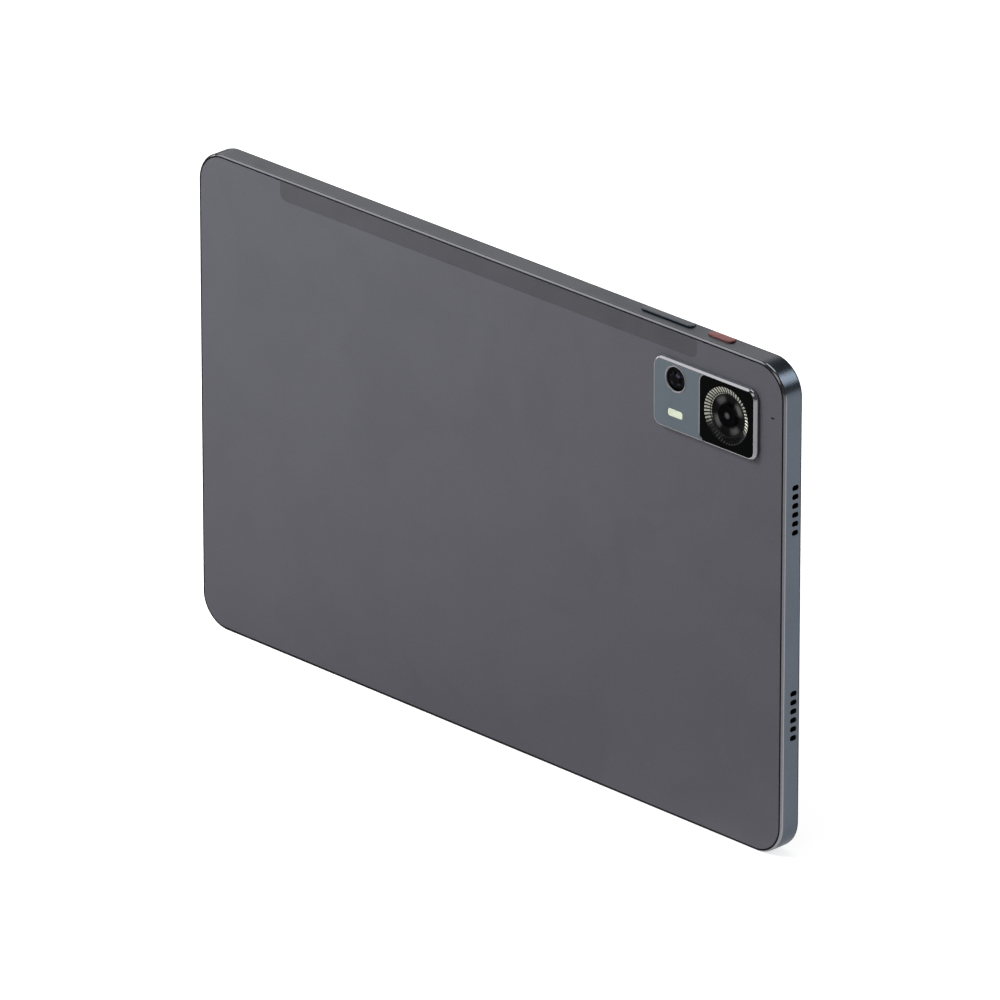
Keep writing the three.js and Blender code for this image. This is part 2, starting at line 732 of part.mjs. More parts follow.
const cellWidth = (BATTERY.right - BATTERY.left - BATTERY.gap) / 2;
const leftCell = makeBatteryCell(BATTERY.left, BATTERY.left + cellWidth);
const rightCell = makeBatteryCell(BATTERY.right - cellWidth, BATTERY.right);
add('mid_plate', makeMidPlate(), steel());
add('battery_cell_left', leftCell, batteryFoil());
add('battery_cell_right', rightCell, batteryFoil());
add('battery_board', block([-34, -0.6, 112.6], [20, 0.4, 115.6]), board());
add('main_board', makeMainBoard(), board());
SCREW_PLACES.forEach(([x, z], index) => add(`board_screw_${index + 1}`, makeScrew(x, z), steel()));
add('processor_shield', makeShield(29, 57, 121, 146, 1.5), steel());
add('radio_shield', makeShield(60, 74, 121, 144, 1.3), steel());
add('main_flex', block([-101, FOIL_Y, 70], [40, FOIL_Y + 0.15, 79]), flexFilm());
add('display_board', block([-62, 0.6, 3], [62, 1.4, 9]), board());
add('display_flex', block([75, 1, 5], [84, 1.15, 115]), flexFilm());
add('antenna_left', block([-86, FOIL_Y, 148.5], [-52, FOIL_Y + 0.2, 153.6]), polished());
add('antenna_right', block([6, FOIL_Y, 151.8], [52, FOIL_Y + 0.2, 154.2]), polished());

add('lcd_panel', makePanel(), blackPlastic());
add('display_glass', makeCoverGlass(), blackGlass());
add('display_bezel', makeBezel(), blackPlastic());
add('front_camera', makeFrontCamera(), blackPlastic());
add('light_sensor', block([8.5, 2.2, 151], [11.5, GLASS_BACK_Y - 0.25, 153]), blackPlastic());

export default tablet;
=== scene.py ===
"""A tablet computer: a metal ring frame, a rear cover with a raised camera island, keys, a charging port, a
card tray and a screen, finished in blasted, spun and polished metal, plastic and glass. Lengths are worked
out in millimetres and put into the meshes in metres. X runs along the tablet, -Y out of the rear cover, +Y
out of the screen and +Z up."""

from dataclasses import dataclass, field

import bmesh
import bpy
import numpy as np
from bpy.props import FloatProperty, FloatVectorProperty, IntProperty, PointerProperty
from mathutils import Matrix, Vector


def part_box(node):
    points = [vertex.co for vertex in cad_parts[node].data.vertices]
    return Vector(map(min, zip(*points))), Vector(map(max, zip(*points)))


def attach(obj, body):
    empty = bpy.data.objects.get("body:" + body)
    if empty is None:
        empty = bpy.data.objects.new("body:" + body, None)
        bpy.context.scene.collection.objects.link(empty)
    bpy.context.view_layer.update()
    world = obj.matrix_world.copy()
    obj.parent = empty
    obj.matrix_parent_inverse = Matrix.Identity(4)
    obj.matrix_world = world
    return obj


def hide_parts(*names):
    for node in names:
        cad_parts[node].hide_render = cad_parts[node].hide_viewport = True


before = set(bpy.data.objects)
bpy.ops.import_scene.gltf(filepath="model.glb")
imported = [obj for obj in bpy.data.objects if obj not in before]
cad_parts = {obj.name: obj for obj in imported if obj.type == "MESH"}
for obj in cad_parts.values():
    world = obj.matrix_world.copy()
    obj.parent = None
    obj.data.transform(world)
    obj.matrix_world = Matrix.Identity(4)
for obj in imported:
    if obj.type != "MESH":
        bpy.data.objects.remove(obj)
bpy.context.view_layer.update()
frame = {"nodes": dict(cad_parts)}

bl_info = {
    "name": "Tablet Computer",
    "version": (1, 0, 0),
    "blender": (4, 5, 0),
    "location": "3D View > Sidebar > Tablet",
    "description": "Builds the shells, cameras, keys and screen of a tablet computer around its frame",
    "category": "Add Mesh",
}

MM = 0.001
QUARTER = np.pi / 2
TURN = 2 * np.pi

# Corner radii of the frame, the cover, the gasket and the cover glass, each set in from the one before
FRAME_CORNER, GASKET_CORNER, COVER_CORNER, GLASS_CORNER = 10.5, 10.4, 9.45, 9.05
ISLAND_CORNER, EYE_CORNER = 3.4, 2.35
# Black of the seams and the port's plastic, also used as the painted shade along the toothed ring's foot
SEAM_AND_SHADE_BLACK = (0.012, 0.012, 0.013)

# Where the three coordinates of a swept shape go: across, up, and along the axis that it is swept on.
AXES = {"x": (1, 2, 0), "y": (0, 2, 1), "z": (0, 1, 2)}
# Multiplied with a point, these drop the coordinate that a sweep along Y or X sets for itself.
UPRIGHT, SIDEWAYS = np.array([1, 0, 1]), np.array([0, 1, 1])


# Sizes and colours


def length(name, description, millimetres, **limits):
    """A length property, with its default in millimetres."""
    return FloatProperty(
        name=name, description=description, default=millimetres * MM, min=0.0, unit="LENGTH", precision=5,
        **limits
    )


def colour(name, description, red, green, blue):
    """A colour property in linear light."""
    return FloatVectorProperty(
        name=name, description=description, default=(red, green, blue), min=0.0, max=1.0, subtype="COLOR"
    )


class TabletSizes(bpy.types.PropertyGroup):
    """The small lengths that the frame's solids leave out."""

    edge_chamfer: length("Edge chamfer", "Width of the polished chamfer on the frame's rear edge", 0.6)
    island_chamfer: length("Island chamfer", "Width of the polished chamfer round the camera island", 0.78)
    cover_round: length("Cover round", "Radius on the outer edge of the rear cover", 0.08)
    window_gap: length("Window gap", "Joint between the rear cover and the antenna window", 0.03)
    seat_round: length("Recess round", "Radius on the edge of the recess that holds the black glass", 0.42)
    slot_length: length("Slot length", "Length of a speaker slot, across the frame", 2.55)
    slot_width: length("Slot width", "Width of a speaker slot", 1.58)
    slot_pitch: length("Slot pitch", "Distance from one speaker slot to the next", 2.86)
    slot_round: length("Slot round", "Radius on the mouth of a speaker slot", 0.15)
    key_round: length("Key round", "Radius on the top edge of a key", 0.22)
    key_gap: length("Key gap", "Gap between a key and the frame", 0.13)
    tooth_depth: length("Tooth depth", "Height of a tooth on the ring round the main lens", 0.26)
    groove_pitch: length("Groove pitch", "Distance between the turned grooves round the main lens", 0.16)
    thread_pitch: length("Thread pitch", "Distance between the threads of the speaker cloth", 0.16)
    glass_round: length("Glass round", "Radius on the front edge of the cover glass", 0.32)
    teeth: IntProperty(name="Teeth", description="Teeth on the ring round the main lens", default=48, min=12,
                       max=96)


class TabletColours(bpy.types.PropertyGroup):
    """The colours of the finishes."""

    frame: colour("Frame", "Blasted metal of the frame and the volume key", 0.150, 0.176, 0.214)
    cover: colour("Cover", "Blasted metal of the rear cover", 0.128, 0.127, 0.148)
    window: colour("Window", "Plastic strip over the antennas", 0.083, 0.083, 0.093)
    island: colour("Island", "Satin metal of the camera island", 0.148, 0.178, 0.208)
    polish: colour("Polished edge", "Polished chamfer round the camera island", 0.66, 0.655, 0.69)
    edge: colour("Frame edge", "Polished chamfer round the frame", 0.38, 0.385, 0.42)
    tooth: colour("Teeth", "Bright teeth round the main lens", 0.86, 0.86, 0.74)
    power: colour("Power key", "Red metal of the power key", 0.32, 0.135, 0.138)
    flash: colour("Flash", "Cream cover of the flash", 0.51, 0.56, 0.43)
    black: colour("Black glass", "Glass over the main camera", 0.0007, 0.0009, 0.0010)
    screen: colour("Screen", "The screen when it is off", 0.0045, 0.005, 0.0065)


class StudioSettings(bpy.types.PropertyGroup):
    """Where the camera stands and how bright the studio is."""

    azimuth: FloatProperty(name="Azimuth", description="Camera's turn round the tablet", default=45.32)
    elevation: FloatProperty(name="Elevation", description="Camera's height angle", default=23.25)
    distance: FloatProperty(name="Distance", description="Camera to tablet", default=3.945, unit="LENGTH")
    lens: FloatProperty(name="Lens", description="Focal length in millimetres", default=474.6)
    aim_right: length("Aim right", "How far right of the tablet's middle the camera aims", 1.855)
    aim_down: length("Aim down", "How far below the tablet's middle the camera aims", 1.17)
    room: FloatProperty(name="Room light", description="Brightness of the room, away from the lights",
                        default=0.06)
    floor: FloatProperty(name="Floor glow", description="Light that the floor gives of its own", default=0.74)
    floor_left: FloatProperty(name="Floor left", description="Share of the glow that falls on the left",
                              default=0.0)
    floor_right: FloatProperty(name="Floor right", description="Share of the glow that falls on the right",
                               default=0.82)


def sizes():
    """The sizes of this scene's tablet, in millimetres."""
    held = bpy.context.scene.tablet_sizes
    names = TabletSizes.__annotations__
    return {name: getattr(held, name) / (1 if name == "teeth" else MM) for name in names}


def colours():
    """The colours of this scene's tablet."""
    held = bpy.context.scene.tablet_colours
    return {name: tuple(getattr(held, name)) for name in TabletColours.__annotations__}


# Shapes, worked out as whole arrays


@dataclass
class Shape:
    """Points in millimetres, the faces between them, and each face's number in the piece's list of
    finishes."""

    points: np.ndarray
    faces: list = field(default_factory=list)
    labels: np.ndarray = None


def span(node):
    """Lowest and highest corners of the box round one of the frame's solids, in millimetres."""
    low, high = (np.array(list(corner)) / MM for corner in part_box(node))
    return low, high


def spanned(node):
    """The box's lowest and highest corners, its middle and its size."""
    low, high = span(node)
    return low, high, (low + high) / 2, high - low


def rounded_outline(width, height, radius, steps=12):
    """A rectangle with round corners about zero. Each corner is its circle's centre plus the radius times the
    cosine and sine of an angle that runs through a quarter turn, and those two are also the outward
    direction."""
    angles = np.linspace(0, QUARTER, steps + 1) + np.arange(4)[:, None] * QUARTER
    outward = np.stack([np.cos(angles), np.sin(angles)], axis=-1)
    quadrant = np.array([[1, 1], [-1, 1], [-1, -1], [1, -1]])
    centres = quadrant * (np.array([width, height]) / 2 - radius)
    points = centres[:, None] + radius * outward
    return points.reshape(-1, 2), outward.reshape(-1, 2)


def soft_path(corners, closed=False, steps=4):
    """A path through corners given as (inset, level, radius, label), where the label names the finish of the
    leg that follows. In each corner lies a circle that touches both legs: its centre is the corner plus the
    bisector times radius over the sine of half the angle, and the arc goes from one touching point to the
    other by the rule that weighs the two directions by the sines of their shares of the turn. The arc has the
    higher label of its legs."""
    table = np.array(corners, float)
    places, radii, labels = table[:, :2], table[:, 2:3], table[:, 3].astype(int)
    to_last = np.roll(places, 1, axis=0) - places
    to_next = np.roll(places, -1, axis=0) - places
    to_last /= np.linalg.norm(to_last, axis=1, keepdims=True)
    to_next /= np.linalg.norm(to_next, axis=1, keepdims=True)
    bend = np.arccos(np.clip((to_last * to_next).sum(axis=1, keepdims=True), -0.9999, 0.9999)) / 2
    bisector = to_last + to_next
    bisector /= np.maximum(np.linalg.norm(bisector, axis=1, keepdims=True), 1e-9)
    if not closed:
        radii[[0, -1]] = 0
    centres = places + bisector * radii / np.sin(bend)
    start = places + to_last * radii / np.tan(bend) - centres
    end = places + to_next * radii / np.tan(bend) - centres
    turn = np.pi - 2 * bend
    share = np.linspace(0, 1, steps + 1)[None, :, None]
    turn = turn[:, None]
    arcs = (np.sin((1 - share) * turn) * start[:, None] + np.sin(share * turn) * end[:, None]) / np.sin(turn)
    path = (centres[:, None] + arcs).reshape(-1, 2)
    arc_labels = np.maximum(labels, np.roll(labels, 1))
    step_labels = np.repeat(arc_labels[:, None], steps + 1, axis=1)
    step_labels[:, -1] = labels
    step_labels = step_labels.reshape(-1)
    gap = np.linalg.norm(np.roll(path, -1, axis=0) - path, axis=1)
    keep = gap > 1e-5
    if not closed:
        keep[-1] = True
    return path[keep], step_labels[keep]


def grid_faces(rows, columns, closed):
    """Four-cornered faces between each row of a grid and the next, and each column and the next. The columns
    close on themselves, and the rows do if closed is set."""
    row = np.arange(rows if closed else rows - 1)[:, None]
    column = np.arange(columns)[None]
    after, beside = (row + 1) % rows * columns, (column + 1) % columns
    corners = [row * columns + column, row * columns + beside, after + beside, after + column]
    return np.stack(np.broadcast_arrays(*corners), axis=-1).reshape(-1, 4)


def grid_shape(grid, labels, closed):
    """A shape from a grid of points, whose first and last rows are covered over unless the rows close."""
    rows, columns = grid.shape[:2]
    faces = grid_faces(rows, columns, closed).tolist()
    marks = np.repeat(labels[: rows if closed else rows - 1], columns)
    if not closed:
        ends = np.arange(columns)
        faces += [ends.tolist(), (ends[::-1] + (rows - 1) * columns).tolist()]
        marks = np.concatenate([marks, [labels[0], labels[-1]]])
    return Shape(grid.reshape(-1, 3), faces, marks)


def carried(axis, centre, size, radius, path, labels, closed, steps):
    """A path of (inset, level) carried round a rounded rectangle. A point is the outline's point less its
    outward direction times the path's inset, at the path's level along the axis."""
    outline, outward = rounded_outline(*size, radius, steps)
    flat = outline[None] - path[:, None, :1] * outward[None]
    level = np.broadcast_to(path[:, None, 1:], flat.shape[:2] + (1,))
    grid = np.empty(flat.shape[:2] + (3,))
    grid[..., AXES[axis]] = np.concatenate([flat, level], axis=-1)
    return grid_shape(grid + np.asarray(centre, float), labels, closed)


def swept(axis, centre, size, radius, corners, closed=False, steps=12, soft=4):
    """A path through soft corners carried round a rounded rectangle."""
    return carried(axis, centre, size, radius, *soft_path(corners, closed, soft), closed, steps)


def round_hole(width):
    """The size and corner radius of a round outline, a hair short of a full round so that no side is lost."""
    return (width, width), width / 2 - 1e-4


def block(axis, centre, size, radius, low, high, soft=0.0, label=0, steps=8):
    """A slab from one level to another along the axis, with its edges rounded."""
    corners = [(soft, low, 0, label), (0, low, soft, label), (0, high, soft, label), (soft, high, 0, label)]
    if soft:
        corners = [(soft * 2, low, 0, label)] + corners[1:3] + [(soft * 2, high, 0, label)]
    else:
        corners = corners[1:3]
    return swept(axis, centre, size, radius, corners, steps=steps)


def opening(axis, centre, size, radius, mouth, floor, soft, label=0, steps=10):
    """A tool that cuts an opening with a rounded mouth, from just outside the mouth's level to the floor's.
    The tool's outline grows towards the mouth by the radius times one less the sine of an angle, and its
    level falls below the mouth by the radius times one less the cosine."""
    inward = np.sign(floor - mouth)
    angle = np.linspace(0.25, QUARTER, 6)
    grown = -soft * (1 - np.sin(angle))
    level = mouth + inward * soft * (1 - np.cos(angle))
    path = np.vstack([[[grown[0], mouth - inward * 1.5]], np.column_stack([grown, level]), [[0, floor]]])
    labels = np.full(len(path), label)
    labels[-2:] = 0
    return carried(axis, centre, size, radius, path, labels, False, steps)


def about_y(centre, radius, level, angle, labels, closed):
    """A grid about a line along Y, from the radius and the level at each angle."""
    grid = np.stack(np.broadcast_arrays(radius * np.cos(angle), level, radius * np.sin(angle)), axis=-1)
    return grid_shape(grid + centre * UPRIGHT, labels, closed)


def turned(centre, corners, closed=False, steps=96, soft=4):
    """A path of (radius, level) turned about a line along Y: x and z are the centre plus the radius times the
    cosine and sine of the angle."""
    path, labels = soft_path(corners, closed, soft)
    angle = np.linspace(0, TURN, steps, endpoint=False)
    return about_y(centre, path[:, :1], path[:, 1:], angle, labels, closed)


def joined(*shapes):
    """Several shapes as one. Each shape's faces count on from the points of those before it."""
    starts = np.cumsum([0] + [len(shape.points) for shape in shapes])
    faces = [
        [start + corner for corner in face]
        for start, shape in zip(starts, shapes) for face in shape.faces
    ]
    points = np.concatenate([shape.points for shape in shapes])
    return Shape(points, faces, np.concatenate([shape.labels for shape in shapes]))


# Pieces


def make_mesh(name, shape):
    """Puts a shape into a mesh, merges the points that coincide and turns every face outwards. Three empty
    slots hold the places of its finishes through the cuts that follow."""
    mesh = bpy.data.meshes.new(name)
    for slot in range(3):
        mesh.materials.append(None)
    mesh.from_pydata(shape.points * MM, [], shape.faces)
    mesh.polygons.foreach_set("material_index", np.asarray(shape.labels, np.int32))
    worked = bmesh.new()
    worked.from_mesh(mesh)
    bmesh.ops.remove_doubles(worked, verts=worked.verts, dist=2e-7)
    bmesh.ops.dissolve_degenerate(worked, edges=worked.edges, dist=1e-7)
    bmesh.ops.recalc_face_normals(worked, faces=worked.faces)
    worked.to_mesh(mesh)
    worked.free()
    mesh.validate()
    return mesh


def make_object(name, shape):
    """A new object for a shape, at the origin and unturned."""
    piece = bpy.data.objects.new(name, make_mesh(name, shape))
    bpy.context.scene.collection.objects.link(piece)
    return piece


def combine(piece, tool_shape, operation):
    """Cuts a shape out of a piece, or adds it on, and keeps the outcome as the piece's mesh."""
    tool = make_object(piece.name + "_tool", tool_shape)
    modifier = piece.modifiers.new("Combine", "BOOLEAN")
    modifier.object = tool
    modifier.operation = operation
    modifier.solver = "EXACT"
    modifier.material_mode = "INDEX"
    before = len(piece.data.vertices)
    graph = bpy.context.evaluated_depsgraph_get()
    outcome = bpy.data.meshes.new_from_object(piece.evaluated_get(graph))
    piece.modifiers.remove(modifier)
    old_mesh, piece.data = piece.data, outcome
    tool_mesh = tool.data
    bpy.data.objects.remove(tool)
    bpy.data.meshes.remove(tool_mesh)
    bpy.data.meshes.remove(old_mesh)
    if len(outcome.vertices) == 0 or len(outcome.vertices) == before:
        raise RuntimeError(f"{piece.name}: the {operation.lower()} left the mesh as it was or empty")


def check_closed(piece):
    """Stops if a piece's mesh has an edge that does not join exactly two faces."""
    worked = bmesh.new()
    worked.from_mesh(piece.data)
    open_edges = sum(1 for edge in worked.edges if len(edge.link_faces) != 2)
    worked.free()
    if open_edges:
        raise RuntimeError(f"{piece.name} has {open_edges} open edges")


def settle(piece, body, slot_name, nodes, *finishes, sharp=32):
    """Finishes a piece: smooth shading with sharp edges past an angle, its finishes, its body and the solids
    that it stands for."""
    check_closed(piece)
    mesh = piece.data
    mesh.name = piece.name
    labels = np.zeros(len(mesh.polygons), np.int32)
    mesh.polygons.foreach_get("material_index", labels)
    mesh.materials.clear()
    for finish in finishes:
        mesh.materials.append(finish)
    mesh.polygons.foreach_set("material_index", np.minimum(labels, len(finishes) - 1))
    mesh.shade_smooth()
    mesh.set_sharp_from_angle(angle=np.radians(sharp))
    weighted = piece.modifiers.new("Even shading", "WEIGHTED_NORMAL")
    weighted.keep_sharp = True
    weighted.weight = 100
    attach(piece, body)
    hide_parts(*nodes)
    return piece


# Finishes

PLAIN_SOCKETS = {"metallic": "Metallic", "specular": "Specular IOR Level", "glow": "Emission Strength"}


class Nodes:
    """Adds nodes to a tree. An input is given a plain value, or the output that feeds it."""

    def __init__(self, tree):
        self.tree = tree

    def add(self, kind, inputs=None, **settings):
        node = self.tree.nodes.new("ShaderNode" + kind)
        for name, value in settings.items():
            setattr(node, name, value)
        for name, value in (inputs or {}).items():
            self.feed(node.inputs[name], value)
        return node

    def feed(self, socket, value):
        if isinstance(value, bpy.types.NodeSocket):
            self.tree.links.new(value, socket)
        elif socket.type == "RGBA" and len(value) == 3:
            socket.default_value = (*value, 1.0)
        else:
            socket.default_value = value

    def plain(self, kind):
        return self.tree.nodes.new(kind)

    def times(self, *values):
        """The product of any number of values."""
        product = values[0]
        for value in values[1:]:
            product = self.math("MULTIPLY", product, value)
        return product

    def wave(self, value, pitch):
        """The sine of a place, which comes round once in a pitch given in millimetres."""
        return self.math("SINE", self.times(value, TURN / (pitch * MM)))

    def noise(self, place, scale, detail, **inputs):
        """Noise from 0 to 1, with its scale in rounds to the metre."""
        fed = {"Vector": place, "Scale": scale, "Detail": detail, **inputs}
        return self.add("TexNoise", fed).outputs["Fac"]

    def bump(self, shader, height, distance, strength):
        """Raises the surface by a height, with the distance in millimetres."""
        made = self.add("Bump", {"Height": height, "Distance": distance * MM, "Strength": strength})
        self.feed(shader.inputs["Normal"], made.outputs[0])

    def paint(self, shader, base, roughness, **settings):
        """Feeds the colour and the roughness, and sets the shader's plain values by name."""
        self.feed(shader.inputs["Base Color"], base)
        self.feed(shader.inputs["Roughness"], roughness)
        for name, value in settings.items():
            shader.inputs[PLAIN_SOCKETS[name]].default_value = value

    def math(self, operation, first, second=0.0, third=0.0):
        return self.add("Math", {0: first, 1: second, 2: third}, operation=operation).outputs[0]

    def scaled(self, value, low, high, from_low=0.0, from_high=1.0, smooth=False):
        kind = "SMOOTHSTEP" if smooth else "LINEAR"
        inputs = {"Value": value, "From Min": from_low, "From Max": from_high, "To Min": low, "To Max": high}
        return self.add("MapRange", inputs, interpolation_type=kind, clamp=True).outputs["Result"]

    def blend(self, share, first, second):
        node = self.add("Mix", data_type="RGBA", blend_type="MIX")
        colours_in = [socket for socket in node.inputs if socket.type == "RGBA"]
        self.feed(node.inputs[0], share)
        self.feed(colours_in[0], first)
        self.feed(colours_in[1], second)
        return next(socket for socket in node.outputs if socket.type == "RGBA")

    def place(self, centre=(0, 0, 0)):
        """Object coordinates about a centre in millimetres."""
        vector = self.add("TexCoord").outputs["Object"]
        shift = tuple(-value * MM for value in centre)
        return self.add("Mapping", {"Vector": vector, "Location": shift}, vector_type="POINT").outputs[0]


def node_group(name, inputs, outputs):
    """A new shader node group with named sockets, and its nodes, or None for the nodes if it is already
    there."""
    if name in bpy.data.node_groups:
        return bpy.data.node_groups[name], None
    group = bpy.data.node_groups.new(name, "ShaderNodeTree")
    for kind, sockets in (("INPUT", inputs), ("OUTPUT", outputs)):
        for socket_name, (socket_type, *default) in sockets.items():
            whole_type = "NodeSocket" + socket_type
            socket = group.interface.new_socket(socket_name, in_out=kind, socket_type=whole_type)
            if default:
                socket.default_value = default[0]
    return group, Nodes(group)


def ends(nodes):
    """The group's own input sockets and its output node."""
    return nodes.plain("NodeGroupInput").outputs, nodes.plain("NodeGroupOutput").inputs


def blast_group():
    """Bead blasting: fine noise for the height of the surface, and two broad noises for its tone."""
    group, nodes = node_group(
        "Bead Blast",
        {"Vector": ("Vector",), "Grain": ("Float", 0.0002)},
        {"Height": ("Float",), "Tone": ("Float",)},
    )
    if nodes:
        given, made = ends(nodes)
        scale = nodes.math("DIVIDE", 1.0, given["Grain"])
        coarse = nodes.noise(given["Vector"], nodes.math("DIVIDE", scale, 4.0), 1.0)
        cloud = nodes.noise(given["Vector"], 28.0, 3.0, Roughness=0.55)
        nodes.feed(made["Height"], nodes.noise(given["Vector"], scale, 2.0, Roughness=0.6))
        nodes.feed(made["Tone"], nodes.math("MULTIPLY_ADD", cloud, 0.45, nodes.times(coarse, 0.55)))
    return group


def wear_group():
    """Edge wear: where a softened normal leans away from the true one, broken up by noise."""
    group, nodes = node_group(
        "Edge Wear",
        {"Vector": ("Vector",), "Width": ("Float", 0.0001), "Amount": ("Float", 0.5)},
        {"Mask": ("Float",)},
    )
    if nodes:
        given, made = ends(nodes)
        soft = nodes.add("Bevel", {"Radius": given["Width"]}, samples=4).outputs[0]
        true = nodes.add("NewGeometry").outputs["Normal"]
        lean = nodes.add("VectorMath", {0: soft, 1: true}, operation="DOT_PRODUCT").outputs["Value"]
        edge = nodes.scaled(lean, 1.0, 0.0, 0.80, 0.995)
        patchy = nodes.noise(given["Vector"], 350.0, 3.0)
        broken = nodes.scaled(patchy, 0.15, 1.0, 0.35, 0.7)
        nodes.feed(made["Mask"], nodes.times(edge, broken, given["Amount"]))
    return group


def marks_group():
    """Handling marks: a stretched, warped noise with soft edges, which dulls or clears a gloss."""
    group, nodes = node_group(
        "Handling Marks",
        {"Vector": ("Vector",), "Size": ("Float", 0.02)},
        {"Mask": ("Float",)},
    )
    if nodes:
        given, made = ends(nodes)
        scale = nodes.math("DIVIDE", 1.0, given["Size"])
        noise = nodes.noise(given["Vector"], scale, 4.0, Roughness=0.5, Distortion=1.2)
        nodes.feed(made["Mask"], nodes.scaled(noise, 0.0, 1.0, 0.42, 0.66, smooth=True))
    return group


def turning_group():
    """Turning marks about a line along Y: the sine of the radius over the pitch, the radius itself in metres,
    and the angle from +X towards +Z in turns."""
    group, nodes = node_group(
        "Turning Marks",
        {"Vector": ("Vector",), "Pitch": ("Float", 0.0002)},
        {"Height": ("Float",), "Radius": ("Float",), "Turn": ("Float",)},
    )
    if nodes:
        given, made = ends(nodes)
        parts = nodes.add("SeparateXYZ", {"Vector": given["Vector"]}).outputs
        square = nodes.times(parts["X"], parts["X"])
        radius = nodes.math("SQRT", nodes.math("MULTIPLY_ADD", parts["Z"], parts["Z"], square))
        phase = nodes.times(nodes.math("DIVIDE", radius, given["Pitch"]), TURN)
        nodes.feed(made["Height"], nodes.math("SINE", phase))
        nodes.feed(made["Radius"], radius)
        nodes.feed(made["Turn"], nodes.math("DIVIDE", nodes.math("ARCTAN2", parts["Z"], parts["X"]), TURN))
    return group


def use_group(nodes, group, **inputs):
    """Places a node group in a material with its own values."""
    node = nodes.add("Group", node_tree=group)
    for name, value in inputs.items():
        nodes.feed(node.inputs[name], value)
    return node.outputs


def new_finish(name):
    """An empty material: its nodes and its Principled BSDF."""
    material = bpy.data.materials.new(name)
    material.use_nodes = True
    material.node_tree.nodes.clear()
    nodes = Nodes(material.node_tree)
    shader = nodes.add("BsdfPrincipled")
    output = nodes.add("OutputMaterial")
    nodes.feed(output.inputs["Surface"], shader.outputs[0])
    return material, nodes, shader


def tinted(base, factor):
    """A colour made lighter or darker, inside its range."""
    return tuple(min(1.0, value * factor) for value in base)


def metal(name, base, roughness, grain=0.2, depth=0.003, tone=0.05, wear=0.25, metallic=1.0, smear=0.04):
    """Blasted or polished metal. Grain and depth are in millimetres; tone is how much the colour drifts, wear
    how bright the edges are rubbed, and smear how far handling moves the roughness."""
    material, nodes, shader = new_finish(name)
    place = nodes.place()
    blast = use_group(nodes, blast_group(), Vector=place, Grain=grain * MM)
    worn = use_group(nodes, wear_group(), Vector=place, Width=0.12 * MM, Amount=wear)
    marks = use_group(nodes, marks_group(), Vector=place, Size=0.03)
    drift = nodes.scaled(blast["Tone"], 0.0, 1.0, 0.36, 0.64)
    body = nodes.blend(drift, tinted(base, 1 - tone), tinted(base, 1 + tone))
    rough = nodes.scaled(marks["Mask"], roughness - smear, roughness + smear)
    rough = nodes.math("MULTIPLY_ADD", drift, 0.04, rough)
    rubbed = nodes.blend(worn["Mask"], body, tinted(base, 2.2))
    nodes.paint(shader, rubbed, rough, metallic=metallic, specular=0.5)
    nodes.bump(shader, blast["Height"], depth, 0.7)
    return material


def polished(name, base, roughness, **more):
    """Metal cut bright, with hardly any texture and no rubbed edges."""
    return metal(name, base, roughness, grain=0.3, depth=0.0004, tone=0.03, wear=0.0, **more)


def plastic(name, base, roughness, grain=0.12, depth=0.003, tone=0.06, specular=0.4, smear=0.05,
            metallic=0.0):
    """Moulded plastic with a fine texture, a little drift in colour and dulled by handling."""
    material, nodes, shader = new_finish(name)
    place = nodes.place()
    blast = use_group(nodes, blast_group(), Vector=place, Grain=grain * MM)
    marks = use_group(nodes, marks_group(), Vector=place, Size=0.015)
    drift = nodes.scaled(blast["Tone"], 0.0, 1.0, 0.36, 0.64)
    body = nodes.blend(drift, tinted(base, 1 - tone), tinted(base, 1 + tone))
    rough = nodes.scaled(marks["Mask"], roughness - smear, roughness + smear)
    nodes.paint(shader, body, rough, specular=specular, metallic=metallic)
    nodes.bump(shader, blast["Height"], depth, 0.6)
    return material


def seam_and_shade_finish():
    """Dark glue, and metal deep in the joints between the shells painted black as shade."""
    if "Seam" in bpy.data.materials:
        return bpy.data.materials["Seam"]
    return plastic("Seam", SEAM_AND_SHADE_BLACK, 0.6, specular=0.2)


def black_glass(name, base, specular, roughness=0.04):
    """Glass with a black coating behind it: a deep colour under a clear face with faint handling marks."""
    material, nodes, shader = new_finish(name)
    place = nodes.place()
    marks = use_group(nodes, marks_group(), Vector=place, Size=0.012)
    rough = nodes.scaled(marks["Mask"], roughness, roughness + 0.05)
    nodes.paint(shader, nodes.blend(marks["Mask"], base, tinted(base, 1.25)), rough, specular=specular)
    return material


